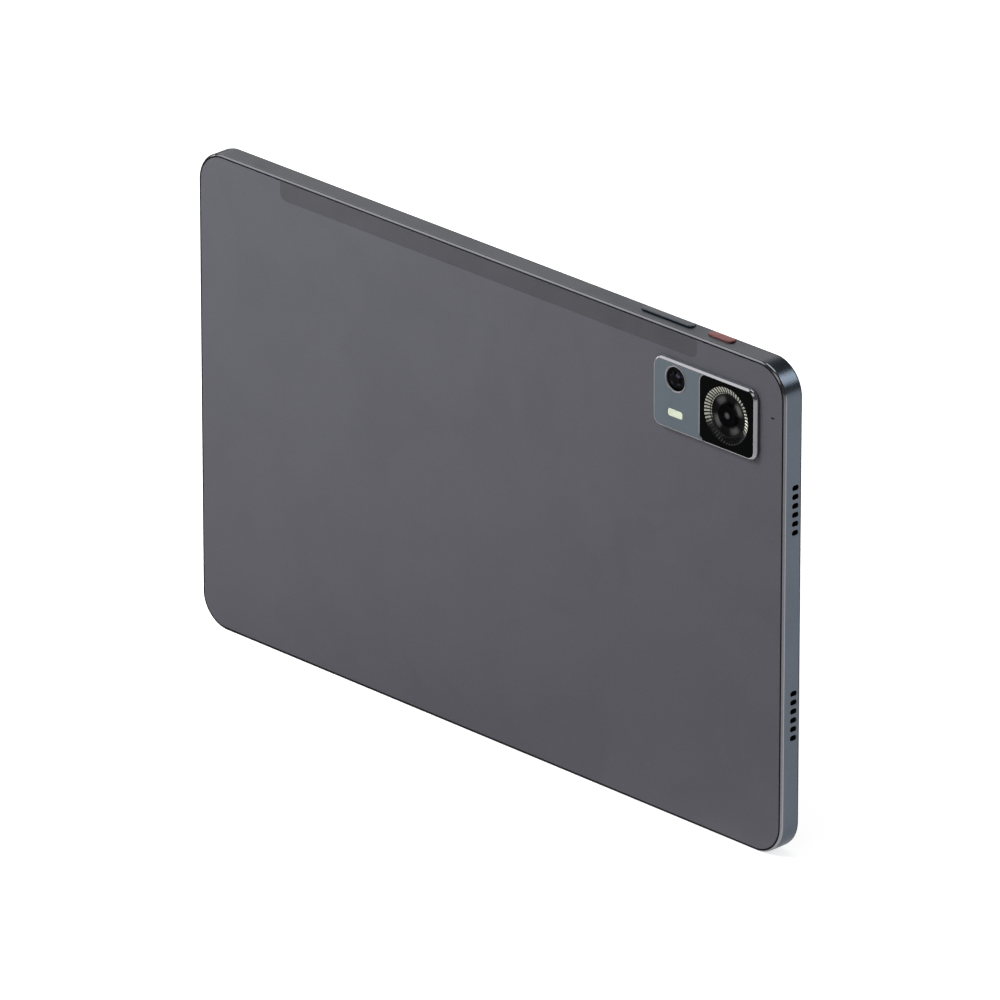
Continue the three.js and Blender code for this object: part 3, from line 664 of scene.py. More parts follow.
def tooth_finish(name, bright, centre, teeth):
    """Polished teeth with painted highlights round the top and sides of the ring and painted shade along its
    foot.
    """
    material, nodes, shader = new_finish(name)
    place = nodes.place(centre)
    marks = use_group(nodes, turning_group(), Vector=place, Pitch=0.25 * MM)
    # The ring is painted dark, as shade, for a third of a turn about its foot. Turns there run from -0.41 to
    # -0.08.
    off_foot = nodes.math("ABSOLUTE", nodes.math("ADD", marks["Turn"], 0.245))
    lit = nodes.scaled(off_foot, 0.0, 1.0, 0.15, 0.23, smooth=True)
    # A tooth has a painted highlight over half of its pitch, and a thin dark line parts the outer row from
    # the inner one.
    phase = nodes.math("FRACT", nodes.times(marks["Turn"], teeth))
    painted_crest = nodes.scaled(nodes.math("ABSOLUTE", nodes.math("SUBTRACT", phase, 0.5)), 1.0, 0.0, 0.20, 0.34)
    outer = nodes.scaled(marks["Radius"], 0.0, 1.0, 7.15 * MM, 7.3 * MM)
    # The inner row has a painted highlight only on the ring's left, whose turns run from 0.27 through 0.5 to
    # -0.42.
    off_left = nodes.math("ABSOLUTE", nodes.math("ADD", nodes.math("FRACT", marks["Turn"]), -0.42))
    left = nodes.scaled(off_left, 0.8, 0.04, 0.10, 0.17, smooth=True)
    inner = nodes.times(left, nodes.scaled(marks["Radius"], 1.0, 0.0, 6.95 * MM, 7.05 * MM))
    lit = nodes.times(lit, painted_crest, nodes.math("MAXIMUM", outer, inner))
    speck = nodes.noise(place, 2500.0, 2.0)
    # Where the painted highlights are off, the ring takes the black of the painted shade
    nodes.paint(shader, nodes.blend(lit, SEAM_AND_SHADE_BLACK, bright), nodes.scaled(speck, 0.14, 0.30), metallic=0.6)
    nodes.bump(shader, marks["Height"], 0.004, 0.5)
    return material


def spun_finish(name, centre, pitch):
    """Dark spun metal with fine turned grooves and four soft fans of painted highlight."""
    material, nodes, shader = new_finish(name)
    place = nodes.place(centre)
    marks = use_group(nodes, turning_group(), Vector=place, Pitch=pitch * MM)
    # Four fans of painted highlight to the turn: the cosine of four times the angle, less a twelfth of a
    # turn.
    phase = nodes.times(nodes.math("ADD", marks["Turn"], -0.09), 4 * TURN)
    painted_fan = nodes.scaled(nodes.math("COSINE", phase), 0.0, 1.0, -0.5, 1.0, smooth=True)
    inner = nodes.scaled(marks["Radius"], 0.25, 1.0, 3.9 * MM, 4.6 * MM, smooth=True)
    outer = nodes.scaled(marks["Radius"], 1.0, 0.15, 5.4 * MM, 6.5 * MM, smooth=True)
    foot = nodes.add("Mapping", {"Vector": place, "Scale": (90.0, 90.0, 90.0)}).outputs[0]
    glow = nodes.times(painted_fan, inner, outer, nodes.noise(foot, 1.6, 2.0))
    # Pale grey painted into the colour where the fans fall, as a painted highlight
    tone = nodes.blend(glow, (0.006, 0.006, 0.0065), (0.30, 0.30, 0.29))
    rough = nodes.scaled(marks["Height"], 0.34, 0.48, -1.0, 1.0)
    nodes.paint(shader, tone, rough, metallic=0.85, specular=0.1)
    nodes.bump(shader, marks["Height"], 0.006, 0.4)
    return material


def lens_finish(name, centre, pupil, iris, tint, specular):
    """Coated lens glass: black, with a soft pale pupil and a faint coloured coating between two radii, both
    painted reflections, given in millimetres."""
    material, nodes, shader = new_finish(name)
    place = nodes.place(centre)
    marks = use_group(nodes, turning_group(), Vector=place, Pitch=0.3 * MM)
    # The pale pupil is a painted reflection in the middle of the glass
    middle = nodes.scaled(marks["Radius"], 1.0, 0.0, pupil * 0.35 * MM, pupil * MM, smooth=True)
    band_in = nodes.scaled(marks["Radius"], 0.0, 1.0, iris[0] * MM, iris[1] * MM, smooth=True)
    band_out = nodes.scaled(marks["Radius"], 1.0, 0.0, iris[1] * MM, iris[2] * MM, smooth=True)
    # The coloured coating is a painted reflection, broken into patches by noise
    cloud = nodes.noise(place, 420.0, 1.0, Distortion=1.5)
    reflection_patch = nodes.scaled(cloud, 0.0, 1.0, 0.45, 0.75, smooth=True)
    coating_sheen = nodes.blend(nodes.times(band_in, band_out, reflection_patch), (0.0007, 0.0007, 0.0009), tint)
    tone = nodes.blend(middle, coating_sheen, (0.070, 0.072, 0.072))
    nodes.paint(shader, tone, nodes.scaled(cloud, 0.05, 0.12), specular=specular)
    return material


def flash_finish(name, base, centre):
    """Milky cover with rows of tiny prisms and a painted glow: it gives off a little light of its own though
    the flash is off.
    """
    material, nodes, shader = new_finish(name)
    place = nodes.place(centre)
    parts = nodes.add("SeparateXYZ", {"Vector": place}).outputs
    prisms = nodes.times(nodes.wave(parts["X"], 0.28), nodes.wave(parts["Z"], 0.28))
    cloud = nodes.noise(place, 600.0, 2.0)
    tone = nodes.blend(nodes.scaled(cloud, 0.0, 1.0, 0.35, 0.65), tinted(base, 0.94), tinted(base, 1.04))
    # A painted glow: the cover gives off light in its own colour
    nodes.feed(shader.inputs["Emission Color"], tone)
    nodes.paint(shader, tone, nodes.scaled(cloud, 0.25, 0.4), glow=0.3)
    nodes.bump(shader, prisms, 0.012, 0.5)
    return material


def cloth_finish(name, pitch):
    """Black woven cloth: threads along the piece pass over and under threads across it. A thread is the size
    of a sine across it, and it is on top where the product of the slow sines of both ways is above zero."""
    material, nodes, shader = new_finish(name)
    parts = nodes.add("SeparateXYZ", {"Vector": nodes.place()}).outputs
    across, along = nodes.wave(parts["Y"], 2 * pitch), nodes.wave(parts["Z"], 2 * pitch)
    over = nodes.math("GREATER_THAN", nodes.times(across, along), 0.0)
    weft = nodes.times(nodes.math("ABSOLUTE", along), nodes.math("SUBTRACT", 1.0, over))
    height = nodes.math("MULTIPLY_ADD", nodes.math("ABSOLUTE", across), over, weft)
    # The crowns of the threads are lighter and the gaps between them darker, a painted shade between the
    # threads
    tone = nodes.blend(height, (0.004, 0.004, 0.0045), (0.022, 0.022, 0.024))
    nodes.paint(shader, tone, nodes.scaled(height, 0.85, 0.6))
    nodes.bump(shader, height, 0.05, 0.8)
    return material


def screen_finish(name, base, active, eye, sensor):
    """Cover glass over a screen that is off: a black printed border, the screen's own dark grey with its fine
    grid, and in the border the front camera and the light sensor. Active is the screen's box as (x, z, half
    width, half height), eye and sensor are (x, z, radius), in millimetres."""
    material, nodes, shader = new_finish(name)
    place = nodes.place()
    parts = nodes.add("SeparateXYZ", {"Vector": place}).outputs
    centre_x, centre_z, half_width, half_height = (value * MM for value in active)
    off_x = nodes.math("ABSOLUTE", nodes.math("SUBTRACT", parts["X"], centre_x))
    off_z = nodes.math("ABSOLUTE", nodes.math("SUBTRACT", parts["Z"], centre_z))
    in_width = nodes.math("LESS_THAN", off_x, half_width)
    inside = nodes.times(in_width, nodes.math("LESS_THAN", off_z, half_height))
    grid = nodes.times(nodes.wave(parts["Z"], 0.2), nodes.wave(parts["X"], 0.2))
    cells = nodes.scaled(grid, 0.75, 1.0, -1.0, 1.0)
    tone = nodes.blend(nodes.times(inside, cells), (0.0015, 0.0015, 0.0017), base)
    eye_marks = use_group(nodes, turning_group(), Vector=nodes.place((eye[0], 0, eye[1])), Pitch=0.4 * MM)
    radius = eye_marks["Radius"]
    off_rim = nodes.math("ABSOLUTE", nodes.math("SUBTRACT", radius, eye[2] * MM))
    rim = nodes.scaled(off_rim, 1.0, 0.0, 0.0, 0.12 * MM)
    tone = nodes.blend(rim, tone, (0.035, 0.035, 0.038))
    pupil = nodes.scaled(radius, 1.0, 0.0, eye[2] * 0.35 * MM, eye[2] * 0.55 * MM, smooth=True)
    tone = nodes.blend(pupil, tone, (0.012, 0.016, 0.034))
    sensor_place = nodes.place((sensor[0], 0, sensor[1]))
    sensor_marks = use_group(nodes, turning_group(), Vector=sensor_place, Pitch=0.4 * MM)
    spot = nodes.scaled(sensor_marks["Radius"], 1.0, 0.0, sensor[2] * 0.8 * MM, sensor[2] * MM, smooth=True)
    tone = nodes.blend(spot, tone, (0.020, 0.012, 0.016))
    marks = use_group(nodes, marks_group(), Vector=place, Size=0.018)
    nodes.paint(shader, tone, nodes.scaled(marks["Mask"], 0.03, 0.085), specular=0.5)
    return material


def board_finish(name):
    """Circuit board: dark green mask over copper tracks, with cells of small parts."""
    material, nodes, shader = new_finish(name)
    place = nodes.place()
    cells = nodes.add("TexVoronoi", {"Vector": place, "Scale": 420.0}, feature="F1", distance="CHEBYCHEV")
    tracks = nodes.add("TexWave", {"Vector": place, "Scale": 260.0, "Distortion": 6.0, "Detail": 1.0})
    copper = nodes.scaled(tracks.outputs["Fac"], 0.0, 1.0, 0.72, 0.80)
    tone = nodes.blend(copper, (0.006, 0.030, 0.018), (0.020, 0.075, 0.040))
    part = nodes.scaled(cells.outputs["Distance"], 1.0, 0.0, 0.30, 0.34)
    nodes.paint(shader, nodes.blend(part, tone, (0.10, 0.10, 0.105)), nodes.scaled(part, 0.38, 0.6))
    nodes.bump(shader, part, 0.1, 0.8)
    return material


def film_finish(name, base):
    """Polyimide film over copper lines that run along it."""
    material, nodes, shader = new_finish(name)
    parts = nodes.add("SeparateXYZ", {"Vector": nodes.place()}).outputs
    line = nodes.scaled(nodes.wave(parts["Z"], 0.6), 0.0, 1.0, 0.1, 0.4)
    nodes.paint(shader, nodes.blend(line, base, tinted(base, 2.2)), nodes.scaled(line, 0.42, 0.32))
    nodes.bump(shader, line, 0.02, 0.6)
    return material


# Operators


class TABLET_OT_frame(bpy.types.Operator):
    """Builds the metal ring with its chamfer, ledges, speaker slots and openings"""

    bl_idname = "tablet.frame"
    bl_label = "Frame"

    def execute(self, context):
        size, tones = sizes(), colours()
        low, high, middle, extent = spanned("side_frame")
        chamfer = size["edge_chamfer"]
        rear, front = low[1], high[1]
        rim, wall, front_rim = 0.75, 2.2, 1.4
        rebate, ledge = -2.55, 1.5
        corners = [
            (0, front, 0.25, 0),
            (0, rear + chamfer, 0.7, 1),
            (chamfer, rear, 0.25, 2),
            (rim, rear, 0.03, 2),
            (rim, rebate, 0, 2),
            (wall, rebate, 0, 0),
            (wall, ledge, 0, 0),
            (front_rim, ledge, 0, 0),
            (front_rim, front, 0.12, 0),
        ]
        ring = swept("y", middle * UPRIGHT, extent[::2], FRAME_CORNER, corners, closed=True, steps=24)
        piece = make_object("frame_ring", ring)
        combine(piece, joined(*self.slots(size, low, high), *self.openings(size, low, high)), "DIFFERENCE")
        side = metal("Frame Metal", tones["frame"], 0.30, grain=0.16, depth=0.002, tone=0.05)
        edge = metal("Frame Edge", tones["edge"], 0.16, grain=0.3, depth=0.0006, tone=0.04, wear=0.1,
                     smear=0.03)
        # The rear lip and the rebate take the seam finish: metal painted black as shade in the joint with the
        # cover
        settle(piece, "body", "frame_metal", ["side_frame"], side, edge, seam_and_shade_finish())
        return {"FINISHED"}

    def slots(self, size, low, high):
        """Six slots in front of each speaker's cloth."""
        tools = []
        for side, wall in (("left", low[0]), ("right", high[0])):
            for place in ("lower", "upper"):
                centre = spanned(f"speaker_mesh_{side}_{place}")[2]
                offsets = (np.arange(6) - 2.5) * size["slot_pitch"]
                inner = wall - np.sign(wall) * 2.7
                outline = (size["slot_length"], size["slot_width"])
                tools += [
                    opening("x", (0, centre[1], centre[2] + offset), outline, outline[1] / 2, wall, inner,
                            size["slot_round"])
                    for offset in offsets
                ]
        return tools

    def openings(self, size, low, high):
        """Openings for the two keys in the top wall, and for the port and the tray in the left wall."""
        tools = []
        for key in ("power_key", "volume_rocker"):
            key_low, key_high = key_box(key)
            outline = key_high[:2] - key_low[:2] + 2 * size["key_gap"]
            centre = (*(key_low[:2] + key_high[:2]) / 2, 0)
            tools.append(opening("z", centre, outline, outline[1] / 2 - 0.001, high[2], high[2] - 3, 0.1))
        shell_low, shell_high = span("usb_c_shell")
        head_low, head_high = tray_head_box()
        for box_low, box_high, gap in ((shell_low, shell_high, 0.06), (head_low, head_high, 0.09)):
            outline = box_high[1:] - box_low[1:] + 2 * gap
            centre = (0, *(box_low[1:] + box_high[1:]) / 2)
            tools.append(opening("x", centre, outline, outline[0] / 2 - 0.001, low[0], low[0] + 3, 0.12))
        return tools


def key_box(node):
    """The box of a key's cap, without the flange that is a millimetre longer at each end and wider at each
    side."""
    low, high = span(node)
    shrink = np.array([1.0, 0.35, 0.0])
    return low + shrink, high - shrink


def tray_head_box():
    """The box of the tray's head, which is the tray's first 1.4 mm."""
    low, high = span("card_tray")
    return low, np.array([low[0] + 1.4, high[1], high[2]])


class TABLET_OT_rear_cover(bpy.types.Operator):
    """Builds the rear cover and the plastic window over the antennas"""

    bl_idname = "tablet.rear_cover"
    bl_label = "Rear Cover"

    def execute(self, context):
        size, tones = sizes(), colours()
        low, high, middle, extent = spanned("rear_cover")
        soft = size["cover_round"]
        corners = [(0, high[1], 0, 0), (0, low[1], soft, 1), (0.5, low[1], 0, 1)]
        shell = swept("y", middle * UPRIGHT, extent[::2], COVER_CORNER, corners, steps=24)
        piece = make_object("rear_shell", shell)
        strip_low, strip_high = span("antenna_window")
        notch = self.strip(strip_low, strip_high, low[1] - 1, high[1] + 1, size["window_gap"], 3.0)
        hole_centre, island_extent = spanned("camera_island")[2:]
        mic = (119.1, 0, 140.5)
        tools = joined(
            notch,
            block("y", hole_centre * UPRIGHT, island_extent[::2] - 2.4, 2.4, low[1] - 1, high[1] + 1),
            opening("y", mic, (1.3, 0.3), 0.14, low[1], high[1] + 1, 0.1),
        )
        combine(piece, tools, "DIFFERENCE")
        blasted = metal("Cover Metal", tones["cover"], 0.46, grain=0.22, depth=0.003, tone=0.05,
                        metallic=0.45)
        # The cover's sides and cut walls take the seam finish: metal painted black as shade in the joints
        settle(piece, "body", "cover_metal", ["rear_cover"], seam_and_shade_finish(), blasted)

        window = make_object("antenna_strip", self.strip(strip_low, strip_high, low[1], high[1]))
        strip = plastic("Window Plastic", tones["window"], 0.42, specular=0.5, metallic=0.35)
        settle(window, "body", "window_plastic", ["antenna_window"], strip)
        return {"FINISHED"}

    def strip(self, low, high, rear, inner, gap=0.0, above=0.0):
        """A slab as long as the window, with its two lower corners round and its top edge straight. The
        rounded outline's upper corners are pushed out to the square by moving their points to the box's
        edges."""
        radius = 2.5 + gap
        width = high[0] - low[0] + 2 * gap
        height = high[2] - low[2] + gap
        shape = block("y", (0, 0, (low[2] - gap + high[2]) / 2), (width, height), radius, rear, inner,
                      steps=10)
        points = shape.points
        upper = points[:, 2] > high[2] - radius - 0.001
        points[upper, 0] = np.sign(points[upper, 0]) * width / 2
        on_top = points[upper, 2] > high[2] - radius / 2
        points[upper, 2] = np.where(on_top, high[2] + above, high[2] - radius)
        return shape


class TABLET_OT_camera_island(bpy.types.Operator):
    """Builds the raised island with its polished chamfer and its seats, and the black glass"""

    bl_idname = "tablet.camera_island"
    bl_label = "Camera Island"

    def execute(self, context):
        size, tones = sizes(), colours()
        low, high, centre, extent = spanned("camera_island")
        top, chamfer = low[1], size["island_chamfer"]
        cover_rear = span("rear_cover")[0][1]
        foot = cover_rear - 0.04
        plug = 1.5
        corners = [
            (plug, high[1], 0, 0),
            (plug, foot, 0, 0),
            (0, foot, 0.04, 0),
            (0, top + chamfer, 1.0, 1),
            (chamfer, top, 0.5, 0),
            (chamfer + 0.4, top, 0, 0),
        ]
        raised = swept("y", centre * UPRIGHT, extent[::2], ISLAND_CORNER, corners, steps=20)
        piece = make_object("island_housing", raised)
        glass_low, glass_high, glass_centre, glass_extent = spanned("camera_glass")
        seat = glass_extent[::2] + 0.3
        lens, ring_extent = spanned("knurled_ring")[2:]
        second, second_extent = spanned("aux_lens_ring")[2:]
        flash, flash_extent = spanned("flash_lens")[2:]
        second_seat = second_extent[0] + 0.12
        through = high[1] + 1
        recess = opening("y", glass_centre * UPRIGHT, seat, EYE_CORNER, top, top + 0.75, size["seat_round"],
                         label=2, steps=14)
        combine(piece, recess, "DIFFERENCE")
        round_tools = joined(
            block("y", lens * UPRIGHT, *round_hole(ring_extent[0] + 0.3), top - 1, through, steps=24),
            opening("y", second * UPRIGHT, *round_hole(second_seat), top, top + 1, 0.12, label=2, steps=20),
            opening("y", flash * UPRIGHT, flash_extent[::2] + 0.12, 0.8, top, through, 0.14),
        )
        combine(piece, round_tools, "DIFFERENCE")
        bore = block("y", second * UPRIGHT, *round_hole(second_seat - 1.2), top - 1, through, steps=20)
        combine(piece, bore, "DIFFERENCE")
        satin = metal("Island Satin", tones["island"], 0.36, grain=0.14, depth=0.0016, tone=0.04,
                      metallic=0.5)
        shine = polished("Island Edge", tones["polish"], 0.12, smear=0.02)
        rim = polished("Recess Edge", tinted(tones["polish"], 0.9), 0.24)
        settle(piece, "body", "island_metal", ["camera_island"], satin, shine, rim)

        slab = block("y", glass_centre * UPRIGHT, seat - 0.12, EYE_CORNER - 0.06, glass_low[1], glass_high[1],
                     soft=0.07, steps=14)
        glass = make_object("eye_glass", slab)
        hole = opening("y", lens * UPRIGHT, *round_hole(ring_extent[0] + 0.08), glass_low[1],
                       glass_high[1] + 1, 0.03, steps=28)
        combine(glass, hole, "DIFFERENCE")
        settle(glass, "body", "black_glass", ["camera_glass"], black_glass("Eye Glass", tones["black"], 0.03))
        return {"FINISHED"}


class TABLET_OT_main_camera(bpy.types.Operator):
    """Builds the toothed ring, the spun insert and the front glass of the main camera"""

    bl_idname = "tablet.main_camera"
    bl_label = "Main Camera"

    def execute(self, context):
        size, tones = sizes(), colours()
        low, high, middle, extent = spanned("knurled_ring")
        axis = middle * UPRIGHT
        ring = make_object("toothed_ring", self.toothed(axis, low[1], high[1], extent[0] / 2, size))
        # The teeth's finish paints their highlights and the shade along the ring's foot
        teeth = tooth_finish("Teeth", tones["tooth"], axis, size["teeth"])
        settle(ring, "body", "polished_metal", ["knurled_ring"], teeth, sharp=24)

        face = low[1] + 0.85
        low, high, middle, extent = spanned("lens_insert")
        nose, outer = low[1], extent[0] / 2
        corners = [
            (2.9, high[1], 0, 0),
            (outer, high[1], 0, 0),
            (outer, face - 0.02, 0.05, 0),
            (outer - 0.45, face + 0.03, 0.1, 0),
            (4.3, face + 0.12, 0.15, 0),
            (3.92, face, 0.12, 0),
            (3.84, nose + 0.05, 0.06, 0),
            (3.70, nose, 0.04, 0),
            (3.66, nose + 0.5, 0.02, 0),
            (2.9, nose + 0.5, 0, 0),
        ]
        insert = make_object("spun_insert", turned(axis, corners, closed=True, steps=128))
        # The spun finish carries four fans of painted highlight
        spun = spun_finish("Spun Metal", axis, size["groove_pitch"])
        settle(insert, "body", "dark_metal", ["lens_insert"], spun)

        low, high, middle, extent = spanned("main_lens_window")
        radius, front, back = extent[0] / 2, low[1], high[1]
        corners = [
            (0, back, 0, 0),
            (radius, back, 0.04, 0),
            (radius, front + 0.08, 0.05, 0),
            (radius - 0.16, front, 0.06, 0),
            (radius - 0.9, front + 0.03, 0.3, 0),
            (1.9, front + 0.10, 0.3, 0),
            (1.6, front + 0.07, 0.3, 0),
            (0.8, front + 0.02, 0.6, 0),
            (0, front, 0, 0),
        ]
        window = make_object("main_lens_front", turned(axis, corners))
        coating_sheen = lens_finish("Main Lens", axis, 1.3, (2.2, 2.9, 3.5), (0.003, 0.003, 0.005), 0.02)
        settle(window, "body", "lens_glass", ["main_lens_window"], coating_sheen)
        return {"FINISHED"}

    def toothed(self, centre, front, back, outer, size):
        """A funnel with teeth. Its radius shrinks and its level deepens evenly from rim to throat. The
        surface is raised along its own normal by the depth times a triangle wave of the angle, which fades
        out towards the rim and the throat as the fourth power of the distance from the middle."""
        inner, depth = 6.65, 0.85
        teeth, per_tooth, rows = int(size["teeth"]), 8, 13
        angle = np.linspace(0, TURN, teeth * per_tooth, endpoint=False)
        share = np.linspace(0, 1, rows)[:, None]
        lean = np.arctan2(depth, outer - inner)
        wave = 1 - 2 * np.abs(2 * (angle * teeth / TURN % 1) - 1)
        raised = size["tooth_depth"] * (wave / 2 - 0.35) * (1 - (2 * share - 1) ** 4)
        radius = outer - 0.06 - (outer - 0.06 - inner) * share - raised * np.sin(lean)
        level = front + 0.02 + (depth - 0.02) * share - raised * np.cos(lean)
        plain = np.ones((2, len(angle)))
        radius = np.vstack([[[outer], [outer - 0.02]] * plain, radius, [[inner], [outer]] * plain])
        level = np.vstack([[[front + 0.06], [front + 0.015]] * plain, level, [[back], [back]] * plain])
        return about_y(centre, radius, level, angle, np.zeros(len(radius), int), True)


class TABLET_OT_second_camera(bpy.types.Operator):
    """Builds the second camera's ring and glass, and the flash cover"""

    bl_idname = "tablet.second_camera"
    bl_label = "Second Camera"

    def execute(self, context):
        tones = colours()
        low, high, middle, extent = spanned("aux_lens_ring")
        axis = middle * UPRIGHT
        outer = extent[0] / 2
        inner = outer - 0.42
        corners = [
            (inner, high[1], 0, 0),
            (outer, high[1], 0, 0),
            (outer, low[1] + 0.02, 0.12, 0),
            (outer - 0.24, low[1], 0.1, 0),
            (inner, low[1] + 0.2, 0.06, 0),
        ]
        ring = make_object("second_lens_ring", turned(axis, corners, closed=True, steps=112))
        bright = polished("Lens Ring", tinted(tones["polish"], 0.58), 0.38, metallic=0.5)
        settle(ring, "body", "polished_metal", ["aux_lens_ring"], bright)

        low, high, middle, extent = spanned("aux_lens_window")
        radius, front, back = extent[0] / 2, low[1], high[1]
        corners = [
            (0, back, 0, 0),
            (radius + 0.06, back, 0.04, 0),
            (radius + 0.06, front + 0.14, 0.05, 0),
            (radius - 0.35, front + 0.1, 0.1, 0),
            (radius - 0.8, front + 0.22, 0.1, 0),
            (2.5, front + 0.25, 0.1, 0),
            (2.3, front + 0.16, 0.2, 0),
            (1.2, front + 0.04, 0.8, 0),
            (0, front, 0, 0),
        ]
        window = make_object("second_lens_front", turned(axis, corners))
        # Its bluish coating band is a painted reflection, with hardly any pupil
        coating_sheen = lens_finish("Second Lens", axis, 0.01, (0.4, 1.6, 2.9), (0.060, 0.062, 0.095), 0.05)
        settle(window, "body", "lens_glass", ["aux_lens_window"], coating_sheen)

        low, high, middle, extent = spanned("flash_lens")
        plate = block("y", middle * UPRIGHT, extent[::2], 0.75, low[1], high[1], 0.12)
        cover = make_object("flash_cover", plate)
        milky = flash_finish("Flash Cover", tones["flash"], tuple(middle))
        settle(cover, "body", "flash_diffuser", ["flash_lens"], milky)
        return {"FINISHED"}


class TABLET_OT_keys(bpy.types.Operator):
    """Builds the volume and power keys with their flanges and nibs"""

    bl_idname = "tablet.keys"
    bl_label = "Keys"

    def execute(self, context):
        size, tones = sizes(), colours()
        red = metal("Power Red", tones["power"], 0.3, grain=0.14, depth=0.0015, tone=0.07, metallic=0.7)
        grey = metal("Key Metal", tinted(tones["frame"], 1.12), 0.28, grain=0.16, depth=0.0015, tone=0.05)
        self.key("power_button", "power_key", "power", "red_metal", [0.0], red, size)
        nibs = [-7.0, 7.0]
        self.key("volume_button", "volume_rocker", "volume", "frame_metal", nibs, grey, size)
        return {"FINISHED"}

    def key(self, name, node, body, slot_name, nibs, finish, size):
        """A cap with rounded edges on a flange, with a nib over each switch."""
        low, high, middle, extent = spanned(node)
        cap_low, cap_high = key_box(node)
        flange_low, flange_high = low[2] + 0.2, low[2] + 0.65
        outline = cap_high[:2] - cap_low[:2]
        soft = size["key_round"]
        corners = [
            (0.1, flange_low, 0, 0),
            (0, flange_low + 0.1, 0, 0),
            (0, high[2] - 0.03, soft, 0),
            (0.75, high[2], 0.2, 0),
            (0.95, high[2], 0, 0),
        ]
        cap = swept("z", (middle[0], middle[1], 0), outline, outline[1] / 2 - 0.001, corners, steps=12)
        piece = make_object(name, cap)
        flange = block("z", (middle[0], middle[1], 0), extent[:2], 0.4, flange_low - 0.0005, flange_high)
        combine(piece, flange, "UNION")
        for offset in nibs:
            nib = block("z", (middle[0] + offset, middle[1], 0), (1.4, 1.4), 0.3, low[2], flange_low + 0.2)
            combine(piece, nib, "UNION")
        settle(piece, body, slot_name, [node], finish)


class TABLET_OT_left_side(bpy.types.Operator):
    """Builds the charging port and the card tray"""

    bl_idname = "tablet.left_side"
    bl_label = "Port and Tray"

    def execute(self, context):
        tones = colours()
        steel = metal("Port Steel", (0.42, 0.425, 0.43), 0.26, grain=0.3, depth=0.001, tone=0.05)
        low, high, middle, extent = spanned("usb_c_shell")
        corners = [
            (0, high[0], 0, 0),
            (0, low[0], 0.12, 0),
            (0.3, low[0], 0.12, 0),
            (0.3, high[0], 0, 0),
        ]
        shell = swept("x", middle * SIDEWAYS, extent[1:], extent[1] / 2 - 0.001, corners, closed=True,
                      steps=14)
        settle(make_object("port_shell", shell), "body", "steel_sheet", ["usb_c_shell"], steel)
        self.tongue()
        self.tray(tones)
        return {"FINISHED"}

    def tongue(self):
        """The port's tongue with twelve contacts on each face, on a base that fills the back of the shell."""
        low, high, middle, extent = spanned("usb_c_tongue")
        base = block("x", middle * SIDEWAYS, extent[1:], extent[1] / 2 - 0.001, high[0] - 1.5, high[0])
        piece = make_object("port_tongue", base)
        blade = block("x", middle * SIDEWAYS, (0.7, 6.7), 0.12, low[0], high[0] - 0.5, 0.1)
        combine(piece, blade, "UNION")
        places = (np.arange(12) - 5.5) * 0.5
        contacts = [
            block("y", (low[0] + 1.15, 0, middle[2] + offset), (1.5, 0.28), 0.04,
                  middle[1] + side * 0.33, middle[1] + side * 0.375, label=1, steps=3)
            for offset in places for side in (-1, 1)
        ]
        combine(piece, joined(*contacts), "UNION")
        black = plastic("Port Plastic", SEAM_AND_SHADE_BLACK, 0.5)
        gold = metal("Contact Gold", (0.85, 0.60, 0.24), 0.2, grain=0.3, depth=0.0005, tone=0.04, wear=0.0)
        settle(piece, "body", "black_plastic", ["usb_c_tongue"], black, gold)

    def tray(self, tones):
        """The tray's head with its pin hole, and the drawer behind it with the pocket for a card."""
        low, high = span("card_tray")
        head_low, head_high = tray_head_box()
        middle = (head_low + head_high) / 2
        outline = head_high[1:] - head_low[1:]
        corners = [
            (0, head_high[0], 0, 0),
            (0, head_low[0], 0.12, 0),
            (0.5, head_low[0], 0, 0),
        ]
        head = swept("x", middle * SIDEWAYS, outline, outline[0] / 2 - 0.001, corners, steps=14)
        piece = make_object("tray_drawer", head)
        drawer_middle = middle[2] + 0.9
        drawer = block("x", (0, middle[1], drawer_middle), (1.0, 12.0), 0.15, low[0] + 1, high[0], 0.1)
        combine(piece, drawer, "UNION")
        pocket_low, pocket_high = low[0] + 2.4, high[0] - 0.6
        pocket_middle = ((pocket_low + pocket_high) / 2, 0, drawer_middle)
        pocket_size = (pocket_high - pocket_low, 11.0)
        pocket = block("y", pocket_middle, pocket_size, 0.4, middle[1] - 2, middle[1] + 0.15)
        pin = opening("x", (0, middle[1], middle[2] - 6.1), (0.9, 0.9), 0.449, low[0], low[0] + 2.0, 0.08,
                      steps=8)
        combine(piece, pocket, "DIFFERENCE")
        combine(piece, pin, "DIFFERENCE")
        blasted = metal("Tray Metal", tones["frame"], 0.30, grain=0.16, depth=0.002, tone=0.05)
        settle(piece, "tray", "frame_metal", ["card_tray"], blasted)


class TABLET_OT_speaker_cloth(bpy.types.Operator):
    """Builds the four strips of cloth behind the speaker slots"""

    bl_idname = "tablet.speaker_cloth"
    bl_label = "Speaker Cloth"

    def execute(self, context):
        cloth = cloth_finish("Speaker Cloth", sizes()["thread_pitch"])
        for side in ("left", "right"):
            for place in ("lower", "upper"):
                node = f"speaker_mesh_{side}_{place}"
                low, high, middle, extent = spanned(node)
                strip = block("x", middle * SIDEWAYS, extent[1:], 0.5, low[0], high[0], 0.06)
                piece = make_object(f"cloth_{side}_{place}", strip)
                settle(piece, "body", "speaker_cloth", [node], cloth)
        return {"FINISHED"}


